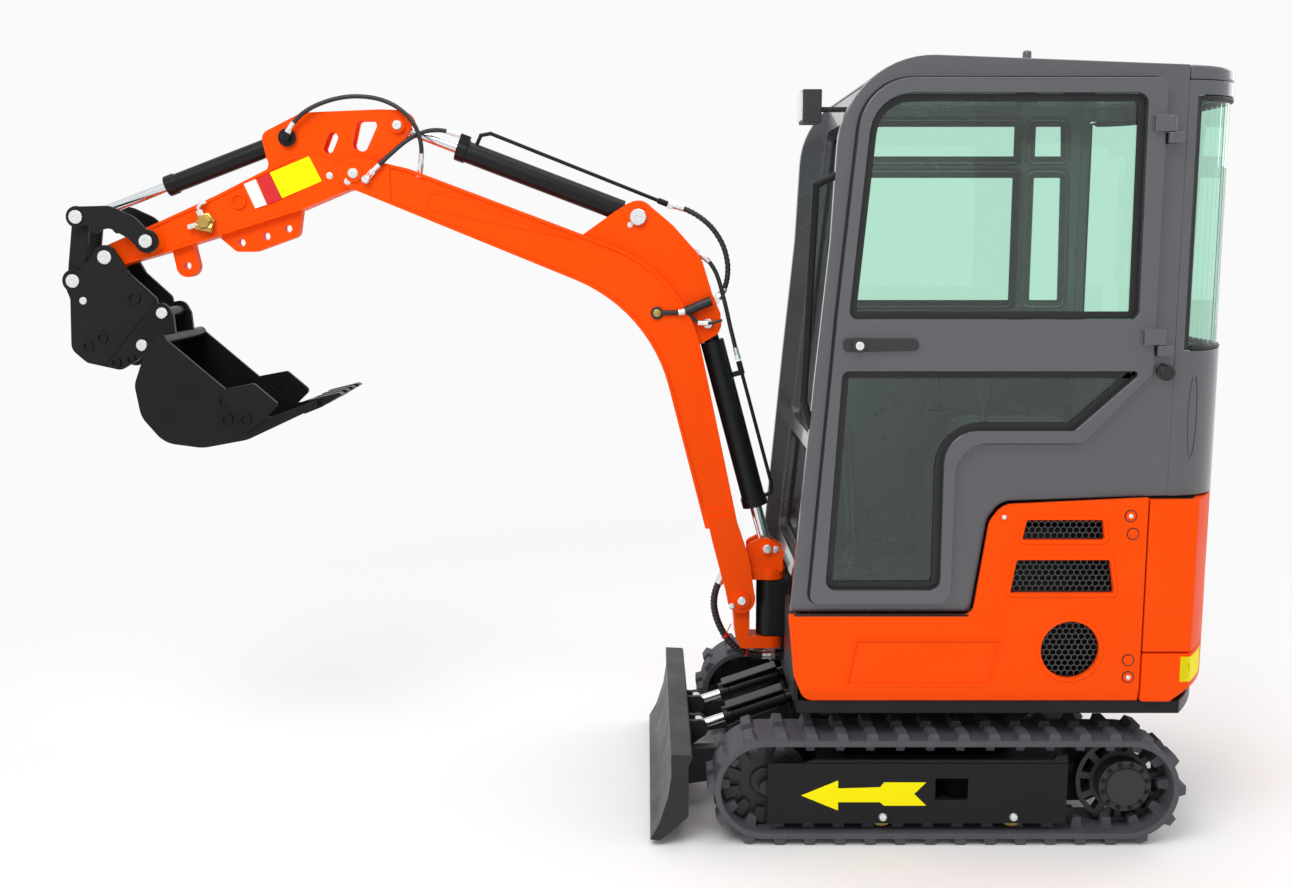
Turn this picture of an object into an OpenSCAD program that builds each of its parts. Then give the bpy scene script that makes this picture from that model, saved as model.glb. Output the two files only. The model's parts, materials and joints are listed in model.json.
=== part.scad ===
// Mini excavator with a closed cab, rubber tracks, dozer blade, swing post and bucket on a quick hitch.
// Front is -X, the door side is -Y, up is +Z. Origin on the ground under the slewing axis. Millimetres.

/* [Tracks] */
// width of one rubber track
track_w = 200; // [160:5:260]
// distance between the two track centre lines
track_gauge = 900; // [800:10:1000]
// front idler axle, distance ahead of the slewing axis
idler_x = 529; // [460:1:600]
// drive sprocket axle, distance behind the slewing axis
sprocket_x = 551; // [480:1:620]
// outer radius of the belt round the wheels, without lugs
belt_r = 153; // [130:1:180]
// belt thickness
belt_t = 18; // [12:1:26]
// height of the tread lugs
lug_h = 20; // [14:1:28]
// number of track links
links = 34; // [26:1:44]

/* [Undercarriage] */
// thickness of the track frame plates
frame_t = 15; // [10:1:25]
// radius of the slewing ring
slew_r = 250; // [200:5:300]
// radius of the bottom rollers
roller_r = 42; // [34:1:50]

/* [Dozer blade] */
// overall width of the blade
blade_w = 1100; // [980:10:1300]
// thickness of the blade arms
blade_arm_t = 45; // [30:1:70]

/* [House] */
// outside width over the orange covers
house_w = 1060; // [980:10:1100]
// radius of the tail about the slewing axis
tail_r = 892; // [830:1:930]
// thickness of the sheet covers
cover_t = 15; // [8:1:20]
// outside width of the cab
cab_w = 1000; // [920:10:1040]
// thickness of the cab walls
wall_t = 30; // [20:1:45]
// height of the underside of the cab roof
roof_z = 2240; // [2150:5:2300]
// thickness of the door
door_t = 28; // [20:1:40]

/* [Working gear] */
// half width of the boom beam
boom_half = 62; // [52:1:80]
// half width of the arm beam
arm_half = 42; // [34:1:45]
// radius of the main hinge pins
pin_r = 20; // [16:1:24]
// radius of the linkage pins
link_pin_r = 15; // [12:1:18]
// outside radius of the boom cylinder
boom_cyl_r = 38; // [32:1:42]
// outside radius of the arm cylinder
arm_cyl_r = 34; // [28:1:38]
// outside radius of the bucket cylinder
bucket_cyl_r = 29; // [24:1:34]
// overall width of the bucket
bucket_w = 400; // [300:10:500]
// thickness of the bucket plates
bucket_t = 12; // [8:1:18]
// radius of the free bores on the arm for a thumb
thumb_bore_r = 12.5; // [10:0.5:14]

/* [Hoses] */
// radius of the plain pressure hoses
hose_r = 7; // [5:0.5:9]
// radius of the hose with a spiral guard over the boom
guarded_hose_r = 9; // [7:0.5:11]
// radius of the hose bundle under the boom foot
bundle_r = 12; // [9:0.5:14]

/* [Hidden] */
// running clearance round pins and rods
run = 0.3;
// side clearance between plates that turn past each other
side = 0.5;
// true circles
$fn = 64;

// working points in the side view, as [x, z]
boom_foot = [-574, 629];
boom_tip = [-1803, 2001];
arm_cyl_base = [-912, 1866];
boom_cyl_top = [-690, 1531];
post_pin = [-491, 796];
arm_rod_pin = [-1665, 2150];
bucket_cyl_base = [-2010, 2112];
rocker_pin = [-2450, 1791];
arm_tip = [-2588, 1741];
rod_pin = [-2664, 1866];
link_pin = [-2692, 1667];
hook_pin = [-2479, 1466];
back_pin = [-2411, 1567];
king_x = -480;
blade_pivot = [-360, 170];
blade_cyl_base = [-390, 335];
blade_rod_pin = [-715, 222];
door_axis = [578, -541];
hood_x = 577;
hood_top = 1050;
hood_axis = [577, 541];
hood_hinge_z = [670, 950];

// hose routes, as [x, y, z]
bucket_route = [
    [-2005, -60, 2126], [-1994, -60, 2144], [-1978, -60, 2164], [-1956, -60, 2184], [-1928, -58, 2202],
    [-1894, -57, 2217], [-1854, -56, 2229], [-1810, -55, 2236], [-1766, -54, 2236], [-1724, -53, 2230],
    [-1684, -55, 2216], [-1648, -60, 2194], [-1618, -63, 2164], [-1598, -64, 2128], [-1589, -62, 2088],
    [-1590, -56, 2048], [-1596, -50, 2010]];
arm_route = [
    [-1746, -74, 2000], [-1730, -74, 2016], [-1712, -73, 2033], [-1694, -72, 2050], [-1676, -70, 2066],
    [-1658, -67, 2082], [-1640, -62, 2097], [-1620, -54, 2111], [-1598, -46, 2123], [-1576, -40, 2131],
    [-1553, -35, 2135], [-1530, -31, 2135], [-1508, -28, 2131], [-1490, -26, 2125], [-1473, -25, 2119]];
boom_route = [
    [-816, 0, 1907], [-786, 0, 1900], [-756, 0, 1889], [-727, 0, 1874], [-700, 0, 1855],
    [-676, 0, 1832], [-656, 0, 1805], [-640, 0, 1775], [-630, 0, 1743], [-625, 0, 1710],
    [-626, 0, 1678], [-632, 0, 1650], [-642, 0, 1628], [-656, 0, 1611]];
lift_route = [
    [-718, -17, 1748], [-700, -17, 1738], [-686, -17, 1726], [-674, -17, 1710], [-664, -17, 1692],
    [-656, -17, 1672], [-649, -17, 1650], [-642, -17, 1624], [-635, -17, 1598], [-628, -16, 1570],
    [-621, -14, 1540], [-614, -11, 1510], [-606, -7, 1480], [-599, -4, 1452], [-593, -1, 1430],
    [-589, 0, 1412]];
foot_route = [
    [-629, 0, 701], [-640, 0, 682], [-650, 0, 662], [-657, 0, 640], [-661, 0, 616],
    [-661, 0, 592], [-657, 0, 568], [-650, 0, 544], [-640, 0, 520], [-627, 0, 496],
    [-611, 0, 473], [-591, 0, 452], [-567, 0, 437], [-540, 0, 428], [-511, 0, 424],
    [-483, 0, 424], [-457, 0, 425]];

// derived sizes of the undercarriage
axle_z = belt_r + lug_h;
wheelbase = idler_x + sprocket_x;
belt_in = belt_r - belt_t;
belt_mid = belt_r - belt_t / 2;
half_turn = PI * belt_mid;
loop_len = 2 * wheelbase + 2 * half_turn;
pitch = loop_len / links;
guide_h = 30;
track_y = track_gauge / 2;
plate_out = track_y + 80;
plate_in = track_y - 80;
deck_z = 400;
deck_top = 440;
floor_z = 690;
cab_half = cab_w / 2;
house_half = house_w / 2;
cab_back = 634;
cab_corner = 188;
nose_half = 185;

function unit(v) = v / norm(v);
function turn(d) = d > 180 ? d - 360 : d < -180 ? d + 360 : d;
function fillet(p, a, b, r, n) =
    let (u = unit(a - p), v = unit(b - p), half = acos(u * v) / 2)
    let (c = p + unit(u + v) * r / sin(half), s = p + u * r / tan(half), e = p + v * r / tan(half))
    let (a0 = atan2(s.y - c.y, s.x - c.x), da = turn(atan2(e.y - c.y, e.x - c.x) - a0))
    [for (i = [0:n]) c + r * [cos(a0 + da * i / n), sin(a0 + da * i / n)]];
function flat2(p) = [p[0], p[1]];
function ring_at(pts, i) = flat2(pts[(i + len(pts)) % len(pts)]);
// outline with rounded corners; the third value of a point is its corner radius
function rounded(pts, n = 6) = [
    for (i = [0:len(pts) - 1])
        each pts[i][2] > 0
            ? fillet(flat2(pts[i]), ring_at(pts, i - 1), ring_at(pts, i + 1), pts[i][2], n)
            : [flat2(pts[i])]];
function left_of(v) = [-v.y, v.x];
// outline moved inwards by d; the points run counter-clockwise
function moved_in(pts, d) = [
    for (i = [0:len(pts) - 1])
        let (p = flat2(pts[i]))
        let (m = left_of(unit(p - ring_at(pts, i - 1))), n = left_of(unit(ring_at(pts, i + 1) - p)))
        let (q = p + (m + n) * d / (1 + m * n))
        [q.x, q.y, max(0, pts[i][2] - d)]];

// side view outline made solid between two widths
module slab(y0, y1) {
    translate([0, y1, 0])
        rotate([90, 0, 0])
            linear_extrude(height = y1 - y0)
                children();
}

module both(y0, y1) {
    slab(y0, y1) children();
    slab(-y1, -y0) children();
}

module disc(p, r) {
    translate(p) circle(r);
}

// bar with round ends in the side view
module bar(p, q, w) {
    disc(p, w / 2);
    disc(q, w / 2);
    translate(p)
        rotate(atan2(q.y - p.y, q.x - p.x))
            translate([0, -0.49 * w])
                square([norm(q - p), 0.98 * w]);
}

// round pin along the width
module pin(p, r, y0, y1) {
    slab(y0, y1) disc(p, r);
}

// round tube between two points in space
module stick(a, b, r) {
    d = b - a;
    translate(a)
        rotate([0, acos(d.z / norm(d)), atan2(d.y, d.x)])
            cylinder(r = r, h = norm(d));
}

// hose as one solid swept along a route that keeps near the side view
function heading(p, i) = unit(p[min(i + 1, len(p) - 1)] - p[max(i - 1, 0)]);
function hose_ring(c, d, r, n) =
    let (s = unit(cross([0, 1, 0], d)), t = cross(d, s))
    [for (k = [0:n - 1]) c + r * (cos(360 * k / n) * s + sin(360 * k / n) * t)];

module hose(p, r, n = 10) {
    last = len(p) - 1;
    polyhedron(
        points = [for (i = [0:last]) each hose_ring(p[i], heading(p, i), r, n)],
        faces = concat(
            [[for (k = [0:n - 1]) k]],
            [[for (k = [n - 1:-1:0]) last * n + k]],
            [for (i = [0:last - 1]) for (k = [0:n - 1])
                [i * n + k, (i + 1) * n + k, (i + 1) * n + (k + 1) % n]],
            [for (i = [0:last - 1]) for (k = [0:n - 1])
                [i * n + k, (i + 1) * n + (k + 1) % n, i * n + (k + 1) % n]]));
}

// bent steel tube with slightly fuller bends
module bent_tube(path, r) {
    for (i = [0:len(path) - 2]) stick(path[i], path[i + 1], r);
    for (i = [1:len(path) - 2]) translate(path[i]) sphere(r = r + 0.6);
}

// local frame with x running from p to q in the side view
module along(p, q) {
    translate([p.x, 0, p.y])
        rotate([0, -atan2(q.y - p.y, q.x - p.x), 0])
            children();
}

module cyl_x(r, x0, x1) {
    translate([x0, 0, 0])
        rotate([0, 90, 0])
            cylinder(r = r, h = x1 - x0);
}

module cyl_y(r, half) {
    translate([0, half, 0])
        rotate([90, 0, 0])
            cylinder(r = r, h = 2 * half);
}

// cylinder barrel with its base eye; bore open at the gland
module barrel(p, q, r, rod_r, reach, eye_half, base_pin) {
    along(p, q)
        difference() {
            union() {
                cyl_x(r, r * 1.6, reach);
                cyl_x(r + 4, reach - 32, reach);
                cyl_x(min(r * 0.7, eye_half - 1), 0, r * 1.6);
                cyl_y(base_pin * 1.75, eye_half);
            }
            cyl_y(base_pin + run, eye_half + 1);
            cyl_x(rod_r + run, r * 1.6 + 14, reach + 1);
        }
}

// piston rod with its eye
module rod(p, q, rod_r, inner, eye_half, eye_r, eye_bore) {
    along(p, q)
        difference() {
            union() {
                cyl_x(rod_r, inner, norm(q - p));
                translate([norm(q - p), 0, 0])
                    cyl_y(eye_r, eye_half);
            }
            translate([norm(q - p), 0, 0])
                cyl_y(eye_bore, eye_half + 1);
        }
}

// Undercarriage

module loop2d(r) {
    disc([-idler_x, axle_z], r);
    disc([sprocket_x, axle_z], r);
    translate([-idler_x, axle_z - r])
        square([wheelbase, 2 * r]);
}

// place a shape on the belt, y pointing outwards; s is measured along the belt
module on_loop(s, r) {
    if (s < wheelbase)
        translate([-idler_x + s, axle_z + r]) children();
    else if (s < wheelbase + half_turn)
        translate([sprocket_x, axle_z])
            rotate(-(s - wheelbase) / belt_mid * 180 / PI)
                translate([0, r]) children();
    else if (s < 2 * wheelbase + half_turn)
        translate([sprocket_x - (s - wheelbase - half_turn), axle_z - r])
            rotate(180) children();
    else
        translate([-idler_x, axle_z])
            rotate(180 - (s - 2 * wheelbase - half_turn) / belt_mid * 180 / PI)
                translate([0, r]) children();
}

module belt2d() {
    difference() {
        loop2d(belt_r);
        loop2d(belt_in);
    }
}

module lugs2d() {
    for (i = [0:links - 1])
        on_loop((i + 0.5) * pitch, belt_r)
            polygon([[-21, -3], [21, -3], [14, lug_h], [-14, lug_h]]);
}

module guides2d() {
    for (i = [0:links - 1])
        on_loop((i + 0.5) * pitch, belt_in)
            polygon([[-19, 3], [19, 3], [12, -guide_h], [-12, -guide_h]]);
}

module track_layer(y0, y1, lugs, guides) {
    slab(y0, y1) {
        belt2d();
        if (lugs) lugs2d();
        if (guides) guides2d();
    }
}

// half-widths of the layers across one track
layer_edge = [0, 22, 50, track_w / 2 - 5, track_w / 2];

module track(yc) {
    track_layer(yc - layer_edge[1], yc + layer_edge[1], false, false);
    for (m = [-1, 1])
        for (k = [1:3])
            track_layer(
                yc + min(m * layer_edge[k], m * layer_edge[k + 1]),
                yc + max(m * layer_edge[k], m * layer_edge[k + 1]),
                k < 3, k == 1);
}

module track_left() {
    color("#3a3a3e") track(-track_y);
}

module track_right() {
    color("#3a3a3e") track(track_y);
}

// side plate outlines of one track frame
frame_low = 74;
frame_top = 262;
side_plate = [
    [-522, 118, 20], [-470, frame_low, 20], [372, frame_low, 8], [372, frame_top + 14, 4],
    [340, frame_top + 14, 4], [330, frame_top, 6], [-380, frame_top, 30], [-522, 214, 20]];
inner_plate = [
    [-522, 118, 20], [-470, frame_low, 20], [480, frame_low, 30], [600, 130, 30],
    [600, 230, 30], [480, frame_top, 30], [-380, frame_top, 30], [-522, 214, 20]];
grease_hole = [[-22, 138, 8], [76, 138, 8], [76, 205, 8], [-22, 205, 8]];

module frame_half(m) {
    y_out = m * plate_out;
    y_in = m * plate_in;
    slab(min(y_out, y_out - m * frame_t), max(y_out, y_out - m * frame_t))
        difference() {
            polygon(rounded(side_plate));
            polygon(rounded(grease_hole));
        }
    slab(min(y_in, y_in + m * frame_t), max(y_in, y_in + m * frame_t))
        polygon(rounded(inner_plate));
    translate([-375, min(y_in, y_out), 205])
        cube([740, plate_out - plate_in, frame_top - 205]);
}

module undercarriage_frame() {
    color("#1c1c1e") {
        for (m = [-1, 1]) frame_half(m);
        for (x = [-230, 110])
            translate([x, -plate_in, 165])
                cube([120, 2 * plate_in, 100]);
        translate([-265, -265, 150])
            cube([530, 530, 180]);
        translate([-420, -nose_half, 140])
            cube([170, 2 * nose_half, 138]);
        translate([0, 0, 325])
            cylinder(r = slew_r - 10, h = 20);
        for (m = [-1, 1]) {
            pin(blade_pivot, pin_r, min(m * 150, m * 262), max(m * 150, m * 262));
            pin(blade_pivot, pin_r + 10, min(m * 250, m * 262), max(m * 250, m * 262));
            for (d = [-1, 1])
                slab(m * 120 + d * 30 - 8, m * 120 + d * 30 + 8) {
                    bar(blade_cyl_base, [-390, 275], 46);
                    translate([-405, 260]) square([80, 45]);
                }
            pin(blade_cyl_base, 14, m * 120 - 36, m * 120 + 36);
        }
    }
}

module front_idlers() {
    color("#2a2a2c")
        for (m = [-1, 1]) {
            pin([-idler_x + 7, axle_z - 7], 24, m * track_y - 65, m * track_y - 20);
            pin([-idler_x + 7, axle_z - 7], 24, m * track_y + 20, m * track_y + 65);
            pin([-idler_x, axle_z], belt_in - run, m * track_y - 20, m * track_y + 20);
        }
}

module drive_sprockets() {
    color("#2a2a2c")
        for (m = [-1, 1])
            slab(m * track_y - 18, m * track_y + 18) {
                difference() {
                    disc([sprocket_x, axle_z], belt_in - run);
                    disc([sprocket_x, axle_z], belt_in - 16);
                }
                difference() {
                    disc([sprocket_x, axle_z], 92);
                    disc([sprocket_x, axle_z], 60);
                }
                for (k = [0:10])
                    translate([sprocket_x, axle_z])
                        rotate(k * 360 / 11 + 8)
                            translate([84, -11])
                                square([belt_in - 92, 22]);
            }
}

module travel_motors() {
    color("#232326")
        for (m = [-1, 1]) {
            y_in = m * (plate_in + frame_t);
            pin([sprocket_x, axle_z], 60, min(y_in, m * (track_y + 30)), max(y_in, m * (track_y + 30)));
            pin([sprocket_x, axle_z], 79,
                min(m * (track_y + 19), m * (track_y + 66)), max(m * (track_y + 19), m * (track_y + 66)));
            pin([sprocket_x, axle_z], 58,
                min(m * (track_y + 60), m * (track_y + 76)), max(m * (track_y + 60), m * (track_y + 76)));
            pin([sprocket_x, axle_z], 88, min(m * 290, m * plate_in), max(m * 290, m * plate_in));
        }
}

roller_x = [-360, -177, 19, 215];

module track_rollers() {
    color("#2a2a2c")
        for (m = [-1, 1])
            for (x = roller_x) {
                pin([x, axle_z - belt_in + roller_r + run], roller_r, m * track_y - 19, m * track_y + 19);
                pin([x, axle_z - belt_in + roller_r + run], 14, m * track_y - 65, m * track_y + 65);
            }
}

module slew_ring() {
    color("#6d6d70")
        difference() {
            translate([0, 0, 345]) cylinder(r = slew_r, h = 27);
            translate([0, 0, 340]) cylinder(r = slew_r - 60, h = 40);
        }
}

// Dozer blade

blade_outline = [
    [-813, 285, 0], [-742, 282, 8], [-760, 250, 10], [-760, 90, 20], [-845, 16, 0], [-875, 19, 0],
    [-848, 68, 60], [-822, 150, 90], [-812, 217, 60]];

module dozer_blade() {
    color("#45464a")
        difference() {
            union() {
                slab(-blade_w / 2, blade_w / 2) polygon(rounded(blade_outline));
                for (m = [-1, 1]) {
                    slab(m * 225 - blade_arm_t / 2, m * 225 + blade_arm_t / 2) {
                        disc(blade_pivot, 36);
                        polygon([[-360, 206], [-360, 134], [-762, 70], [-762, 190]]);
                    }
                    for (d = [-1, 1])
                        slab(m * 120 + d * 30 - 8, m * 120 + d * 30 + 8) {
                            disc(blade_rod_pin, 30);
                            polygon([[-700, 248], [-690, 205], [-762, 150], [-762, 252]]);
                        }
                }
            }
            for (m = [-1, 1])
                slab(m * 225 - blade_arm_t, m * 225 + blade_arm_t) disc(blade_pivot, pin_r + run);
        }
}

blade_cyl_r = 28;
// width of the flat guard over each blade cylinder
guard_w = 68;

module blade_cylinder_barrels() {
    color("#1c1c1e")
        for (m = [-1, 1])
            translate([0, m * 120, 0]) {
                barrel(blade_cyl_base, blade_rod_pin, blade_cyl_r, 15, 255, 22 - side, 14);
                along(blade_cyl_base, blade_rod_pin)
                    translate([45, -guard_w / 2, -blade_cyl_r - 10])
                        cube([195, guard_w, 8]);
            }
}

module blade_cylinder_rods() {
    color("#c9ccd0")
        for (m = [-1, 1])
            translate([0, m * 120, 0])
                rod(blade_cyl_base, blade_rod_pin, 15, 128, 22 - side, 27, 14.5);
}

// House

module plan(r, half, x0) {
    intersection() {
        circle(r, $fn = 128);
        translate([x0, -half]) square([2000, 2 * half]);
    }
}

module house_frame() {
    color("#1c1c1e") {
        translate([0, 0, deck_z])
            linear_extrude(height = deck_top - deck_z)
                plan(tail_r - 25, house_half - 18, -438);
        translate([0, 0, 372 + side])
            cylinder(r = slew_r - 20, h = deck_z - 372);
        translate([-402, -230, deck_top - 1])
            cube([15, 460, floor_z - deck_top + 1]);
        translate([0, 0, 425])
            cyl_x(bundle_r + 6, -456, -430);
        difference() {
            union() {
                translate([king_x, 0, 500]) cylinder(r = 42, h = 190);
                translate([king_x, -42, 500]) cube([90, 84, 190]);
                translate([-420, -80, 505]) cube([25, 160, 170]);
            }
            translate([king_x, 0, 490]) cylinder(r = 22 + run, h = 210);
        }
    }
}

// side view outline of the left cover, counter-clockwise
cover_outline = [
    [-450, 520, 0], [-418, 442, 40], [hood_x - 5, 442, 0], [hood_x - 5, 1056, 0], [150, 1036, 60],
    [112, 985, 60], [72, 706, 30], [-468, 706, 0]];
vent_top = [[208, 932, 6], [449, 932, 6], [441, 991, 6], [220, 991, 6]];
vent_low = [[179, 773, 6], [483, 773, 6], [467, 872, 6], [195, 872, 6]];
label_dent = [[-290, 497, 8], [124, 497, 8], [155, 628, 8], [-266, 628, 8]];

round_vent = [362, 601];
round_vent_r = 86;
// width and height of the raised rims round the vents
rim_w = 12;
rim_h = 4;

module left_side_cover() {
    color("#ff5000")
        difference() {
            union() {
                slab(-house_half, -house_half + cover_t) polygon(rounded(cover_outline));
                slab(-house_half - rim_h, -house_half + 1) {
                    for (v = [vent_top, vent_low]) polygon(rounded(moved_in(v, -rim_w)));
                    disc(round_vent, round_vent_r + rim_w);
                }
            }
            slab(-house_half - rim_h - 1, -house_half + cover_t + 1) {
                for (v = [vent_top, vent_low]) polygon(rounded(v));
                disc(round_vent, round_vent_r);
            }
            slab(-house_half - 1, -house_half + 4) polygon(rounded(label_dent));
            translate([-500, -house_half, 442])
                rotate([90, 0, 90])
                    linear_extrude(height = 1100)
                        polygon([[-1, -1], [12, -1], [12, 0], [0, 36], [-1, 36]]);
        }
}

module right_side_cover() {
    color("#ff5000")
        difference() {
            slab(house_half - cover_t, house_half) polygon(rounded(cover_outline));
            slab(house_half - cover_t - 1, house_half + 1)
                for (k = [0:5])
                    translate([190, 620 + k * 55]) square([290, 26]);
        }
    color("#ff5000")
        for (z = hood_hinge_z) {
            translate([hood_axis.x, hood_axis.y, z - 30])
                cylinder(r = 9, h = 30 - side);
            translate([hood_axis.x - 37, house_half, z - 30])
                cube([30, hood_axis.y - house_half, 30 - side]);
        }
}

module front_cover() {
    color("#ff5000")
        for (m = [-1, 1])
            translate([0, m > 0 ? 232 : -house_half + cover_t, 0])
                rotate([90, 0, 90])
                    translate([0, 0, -450])
                        linear_extrude(height = cover_t)
                            polygon([
                                [0, deck_top], [house_half - cover_t - 232, deck_top],
                                [house_half - cover_t - 232, 690], [0, 690]]);
}

module shell_plan(r, half, x0, t) {
    difference() {
        plan(r, half, x0);
        plan(r - t, half - t, x0 - 10);
    }
}

module counterweight() {
    color("#ff5000")
        intersection() {
            translate([0, 0, deck_top])
                linear_extrude(height = 150)
                    difference() {
                        plan(tail_r, house_half, hood_x);
                        circle(690, $fn = 128);
                    }
            translate([0, 0, deck_top])
                cylinder(r1 = tail_r - 45, r2 = tail_r + 105, h = 150);
        }
}

// oval grille openings in the hood: angle about the slewing axis, centre height, half width, half height
grille_turn = 17;
grille_z = 810;
grille_half = [110, 145];

module rear_hood() {
    color("#ff5000") {
        difference() {
            translate([0, 0, 595])
                linear_extrude(height = hood_top - 595)
                    shell_plan(tail_r, house_half, hood_x, cover_t);
            for (m = [-1, 1])
                rotate([0, 0, m * grille_turn])
                    translate([tail_r - 60, 0, grille_z])
                        rotate([90, 0, 90])
                            linear_extrude(height = 100)
                                polygon([for (a = [0:10:350])
                                    [grille_half.x * cos(a), grille_half.y * sin(a)]]);
        }
        translate([0, 0, hood_top - 12])
            linear_extrude(height = 12)
                difference() {
                    plan(tail_r, house_half, hood_x);
                    plan(tail_r - 25, house_half - 25, hood_x - 10);
                }
        for (z = hood_hinge_z) {
            translate([hood_axis.x, hood_axis.y, z])
                cylinder(r = 9, h = 45);
            translate([hood_x, house_half - 2, z])
                cube([30, 10, 45]);
        }
    }
}

module engine() {
    color("#55565a")
        translate([230, -260, deck_top])
            cube([400, 520, 470]);
}

// Cab

// front edge of the side walls at a height
function front_x(z) = -461 + (z - 708) * 0.1055;
// top of the cab, falling slightly to the rear
function top_z(x) = roof_z + 78 - (x + 335) * 0.037;
cab_side = [
    [front_x(708), 708, 0], [72, 708, 0], [112, 987, 60], [150, 1040, 60], [cab_back, hood_top + 6, 0],
    [cab_back, top_z(cab_back), 0], [-335, top_z(-335), 265], [-362, 1790, 0], [-400, 1396, 0]];
door_outline = [
    [-408, 738, 25], [6, 738, 40], [10, 1215, 90], [372, 1215, 30], [565, 1420, 25],
    [565, roof_z + 4, 25], [-278, roof_z + 4, 150], [-341, 1590, 0]];
upper_window = [[-310, 1572, 25], [516, 1572, 25], [512, roof_z - 38, 30], [-252, roof_z - 38, 118]];
lower_window = [
    [-362, 780, 30], [-26, 780, 30], [-26, 1252, 95], [348, 1252, 20], [536, 1424, 10], [-324, 1424, 20]];

hinge_z = [1500, 2095];
hinge_r = 11;

module cab_left_frame() {
    color("#5f5f63") {
        difference() {
            slab(-cab_half, -cab_half + wall_t) polygon(rounded(cab_side, 14));
            slab(-cab_half - 1, -cab_half + wall_t + 1) polygon(rounded(moved_in(door_outline, 14), 8));
        }
        pin([606, 1420], 24, -cab_half - 26, -cab_half);
        for (z = hinge_z) {
            translate([door_axis.x, door_axis.y, z - 32])
                cylinder(r = hinge_r, h = 32 - side);
            translate([door_axis.x, door_axis.y - 6, z - 32])
                cube([34, -cab_half - door_axis.y + 6, 32 - side]);
        }
    }
}

right_front_low = [[-250, 1560, 25], [420, 1560, 25], [420, 2030, 25], [-205, 2030, 40]];
right_front_top = [[-190, 2060, 20], [420, 2060, 20], [420, 2205, 20], [-150, 2205, 60]];
right_rear_low = [[450, 1560, 25], [594, 1560, 25], [586, 2030, 25], [450, 2030, 25]];
right_rear_top = [[450, 2060, 20], [586, 2060, 20], [580, 2205, 20], [450, 2205, 20]];
right_panes = [right_front_low, right_front_top, right_rear_low, right_rear_top];

module cab_right_wall() {
    color("#5f5f63")
        difference() {
            slab(cab_half - wall_t, cab_half) polygon(rounded(cab_side, 14));
            slab(cab_half - wall_t - 1, cab_half + 1)
                for (p = right_panes) polygon(rounded(p));
        }
}

// front frame leans back between the side walls
lean = atan(0.1055);
front_set = 45;
front_h = (roof_z - 712) / cos(lean);
front_half = cab_half - wall_t;
screen_up = [[-430, 470, 40], [430, 470, 40], [430, 1455, 60], [-430, 1455, 60]];
screen_low = [[-430, 60, 40], [430, 60, 40], [430, 420, 40], [-430, 420, 40]];

module on_front(x0, t) {
    translate([front_x(712) + front_set, 0, 712])
        rotate([0, lean, 0])
            translate([x0, 0, 0])
                rotate([90, 0, 90])
                    linear_extrude(height = t)
                        children();
}

module cab_front_frame() {
    color("#5f5f63")
        intersection() {
            on_front(0, 32)
                difference() {
                    translate([-front_half, 0]) square([2 * front_half, front_h + 20]);
                    polygon(rounded(screen_up));
                    polygon(rounded(screen_low));
                }
            translate([-600, -600, 708]) cube([700, 1200, roof_z - 708]);
        }
}

module windscreen() {
    color("#3f6b58")
        for (s = [screen_up, screen_low])
            on_front(32, 5) polygon(rounded(moved_in(s, -15)));
}

module right_windows() {
    color("#3f6b58")
        for (p = right_panes)
            slab(front_half - 5, front_half) polygon(rounded(moved_in(p, -12)));
}

// rear of the cab in plan, moved in by a distance, and where its wrapped window begins
rear_post = 28;

module cab_rear2d(d) {
    back = cab_back + cab_corner - d;
    polygon(rounded([
        [cab_back - 40, -cab_half + d, 0], [back, -cab_half + d, cab_corner - d],
        [back, cab_half - d, cab_corner - d], [cab_back - 40, cab_half - d, 0]], 14));
}

module cab_rear_shell(d0, d1, x0) {
    intersection() {
        difference() {
            cab_rear2d(d0);
            cab_rear2d(d1);
        }
        translate([x0, -cab_half]) square([500, cab_w]);
    }
}

module cab_rear_wall() {
    color("#5f5f63")
        difference() {
            translate([0, 0, hood_top + 6])
                linear_extrude(height = roof_z - hood_top - 6)
                    cab_rear_shell(0, wall_t, cab_back);
            translate([cab_back + rear_post, -600, 1480])
                cube([400, 1200, 720]);
        }
}

module rear_window() {
    color("#3f6b58")
        translate([0, 0, 1480 + side])
            linear_extrude(height = 720 - 2 * side)
                cab_rear_shell(8, 13, cab_back + rear_post + side);
}

// roof in the side view: the part of the cab contour over the walls and windows
roof_side = [[900, roof_z - 60, 0], [900, top_z(900), 0], [-335, top_z(-335), 265],
    [-362, roof_z - 60 - 390, 0]];

module roof2d(x0, x1) {
    intersection() {
        polygon(rounded(roof_side, 14));
        translate([x0, roof_z]) square([x1 - x0, 200]);
    }
}

module cab_roof() {
    color("#5f5f63") {
        intersection() {
            union() {
                slab(-front_half, front_half) roof2d(-400, 900);
                slab(-cab_half, cab_half) roof2d(cab_back, 900);
            }
            translate([0, 0, 2200])
                linear_extrude(height = 200) {
                    translate([-400, -cab_half]) square([cab_back + 380, cab_w]);
                    cab_rear2d(0);
                }
        }
        translate([292, -60, top_z(292) - 10]) cylinder(r = 14, h = 90);
    }
}

module cab_floor() {
    color("#2b2b2d") {
        translate([-400, -front_half, floor_z]) cube([470, 2 * front_half, 18]);
        translate([55, -front_half, floor_z]) cube([15, 2 * front_half, 360]);
        translate([55, -front_half, 1035]) cube([620, 2 * front_half, 15]);
    }
}

module seat() {
    color("#1f1f21") {
        translate([150, -230, 1050]) cube([380, 460, 60]);
        translate([110, -240, 1110]) cube([440, 480, 90]);
        translate([545, -230, 1150])
            rotate([0, 8, 0]) cube([85, 460, 400]);
    }
}

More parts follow.
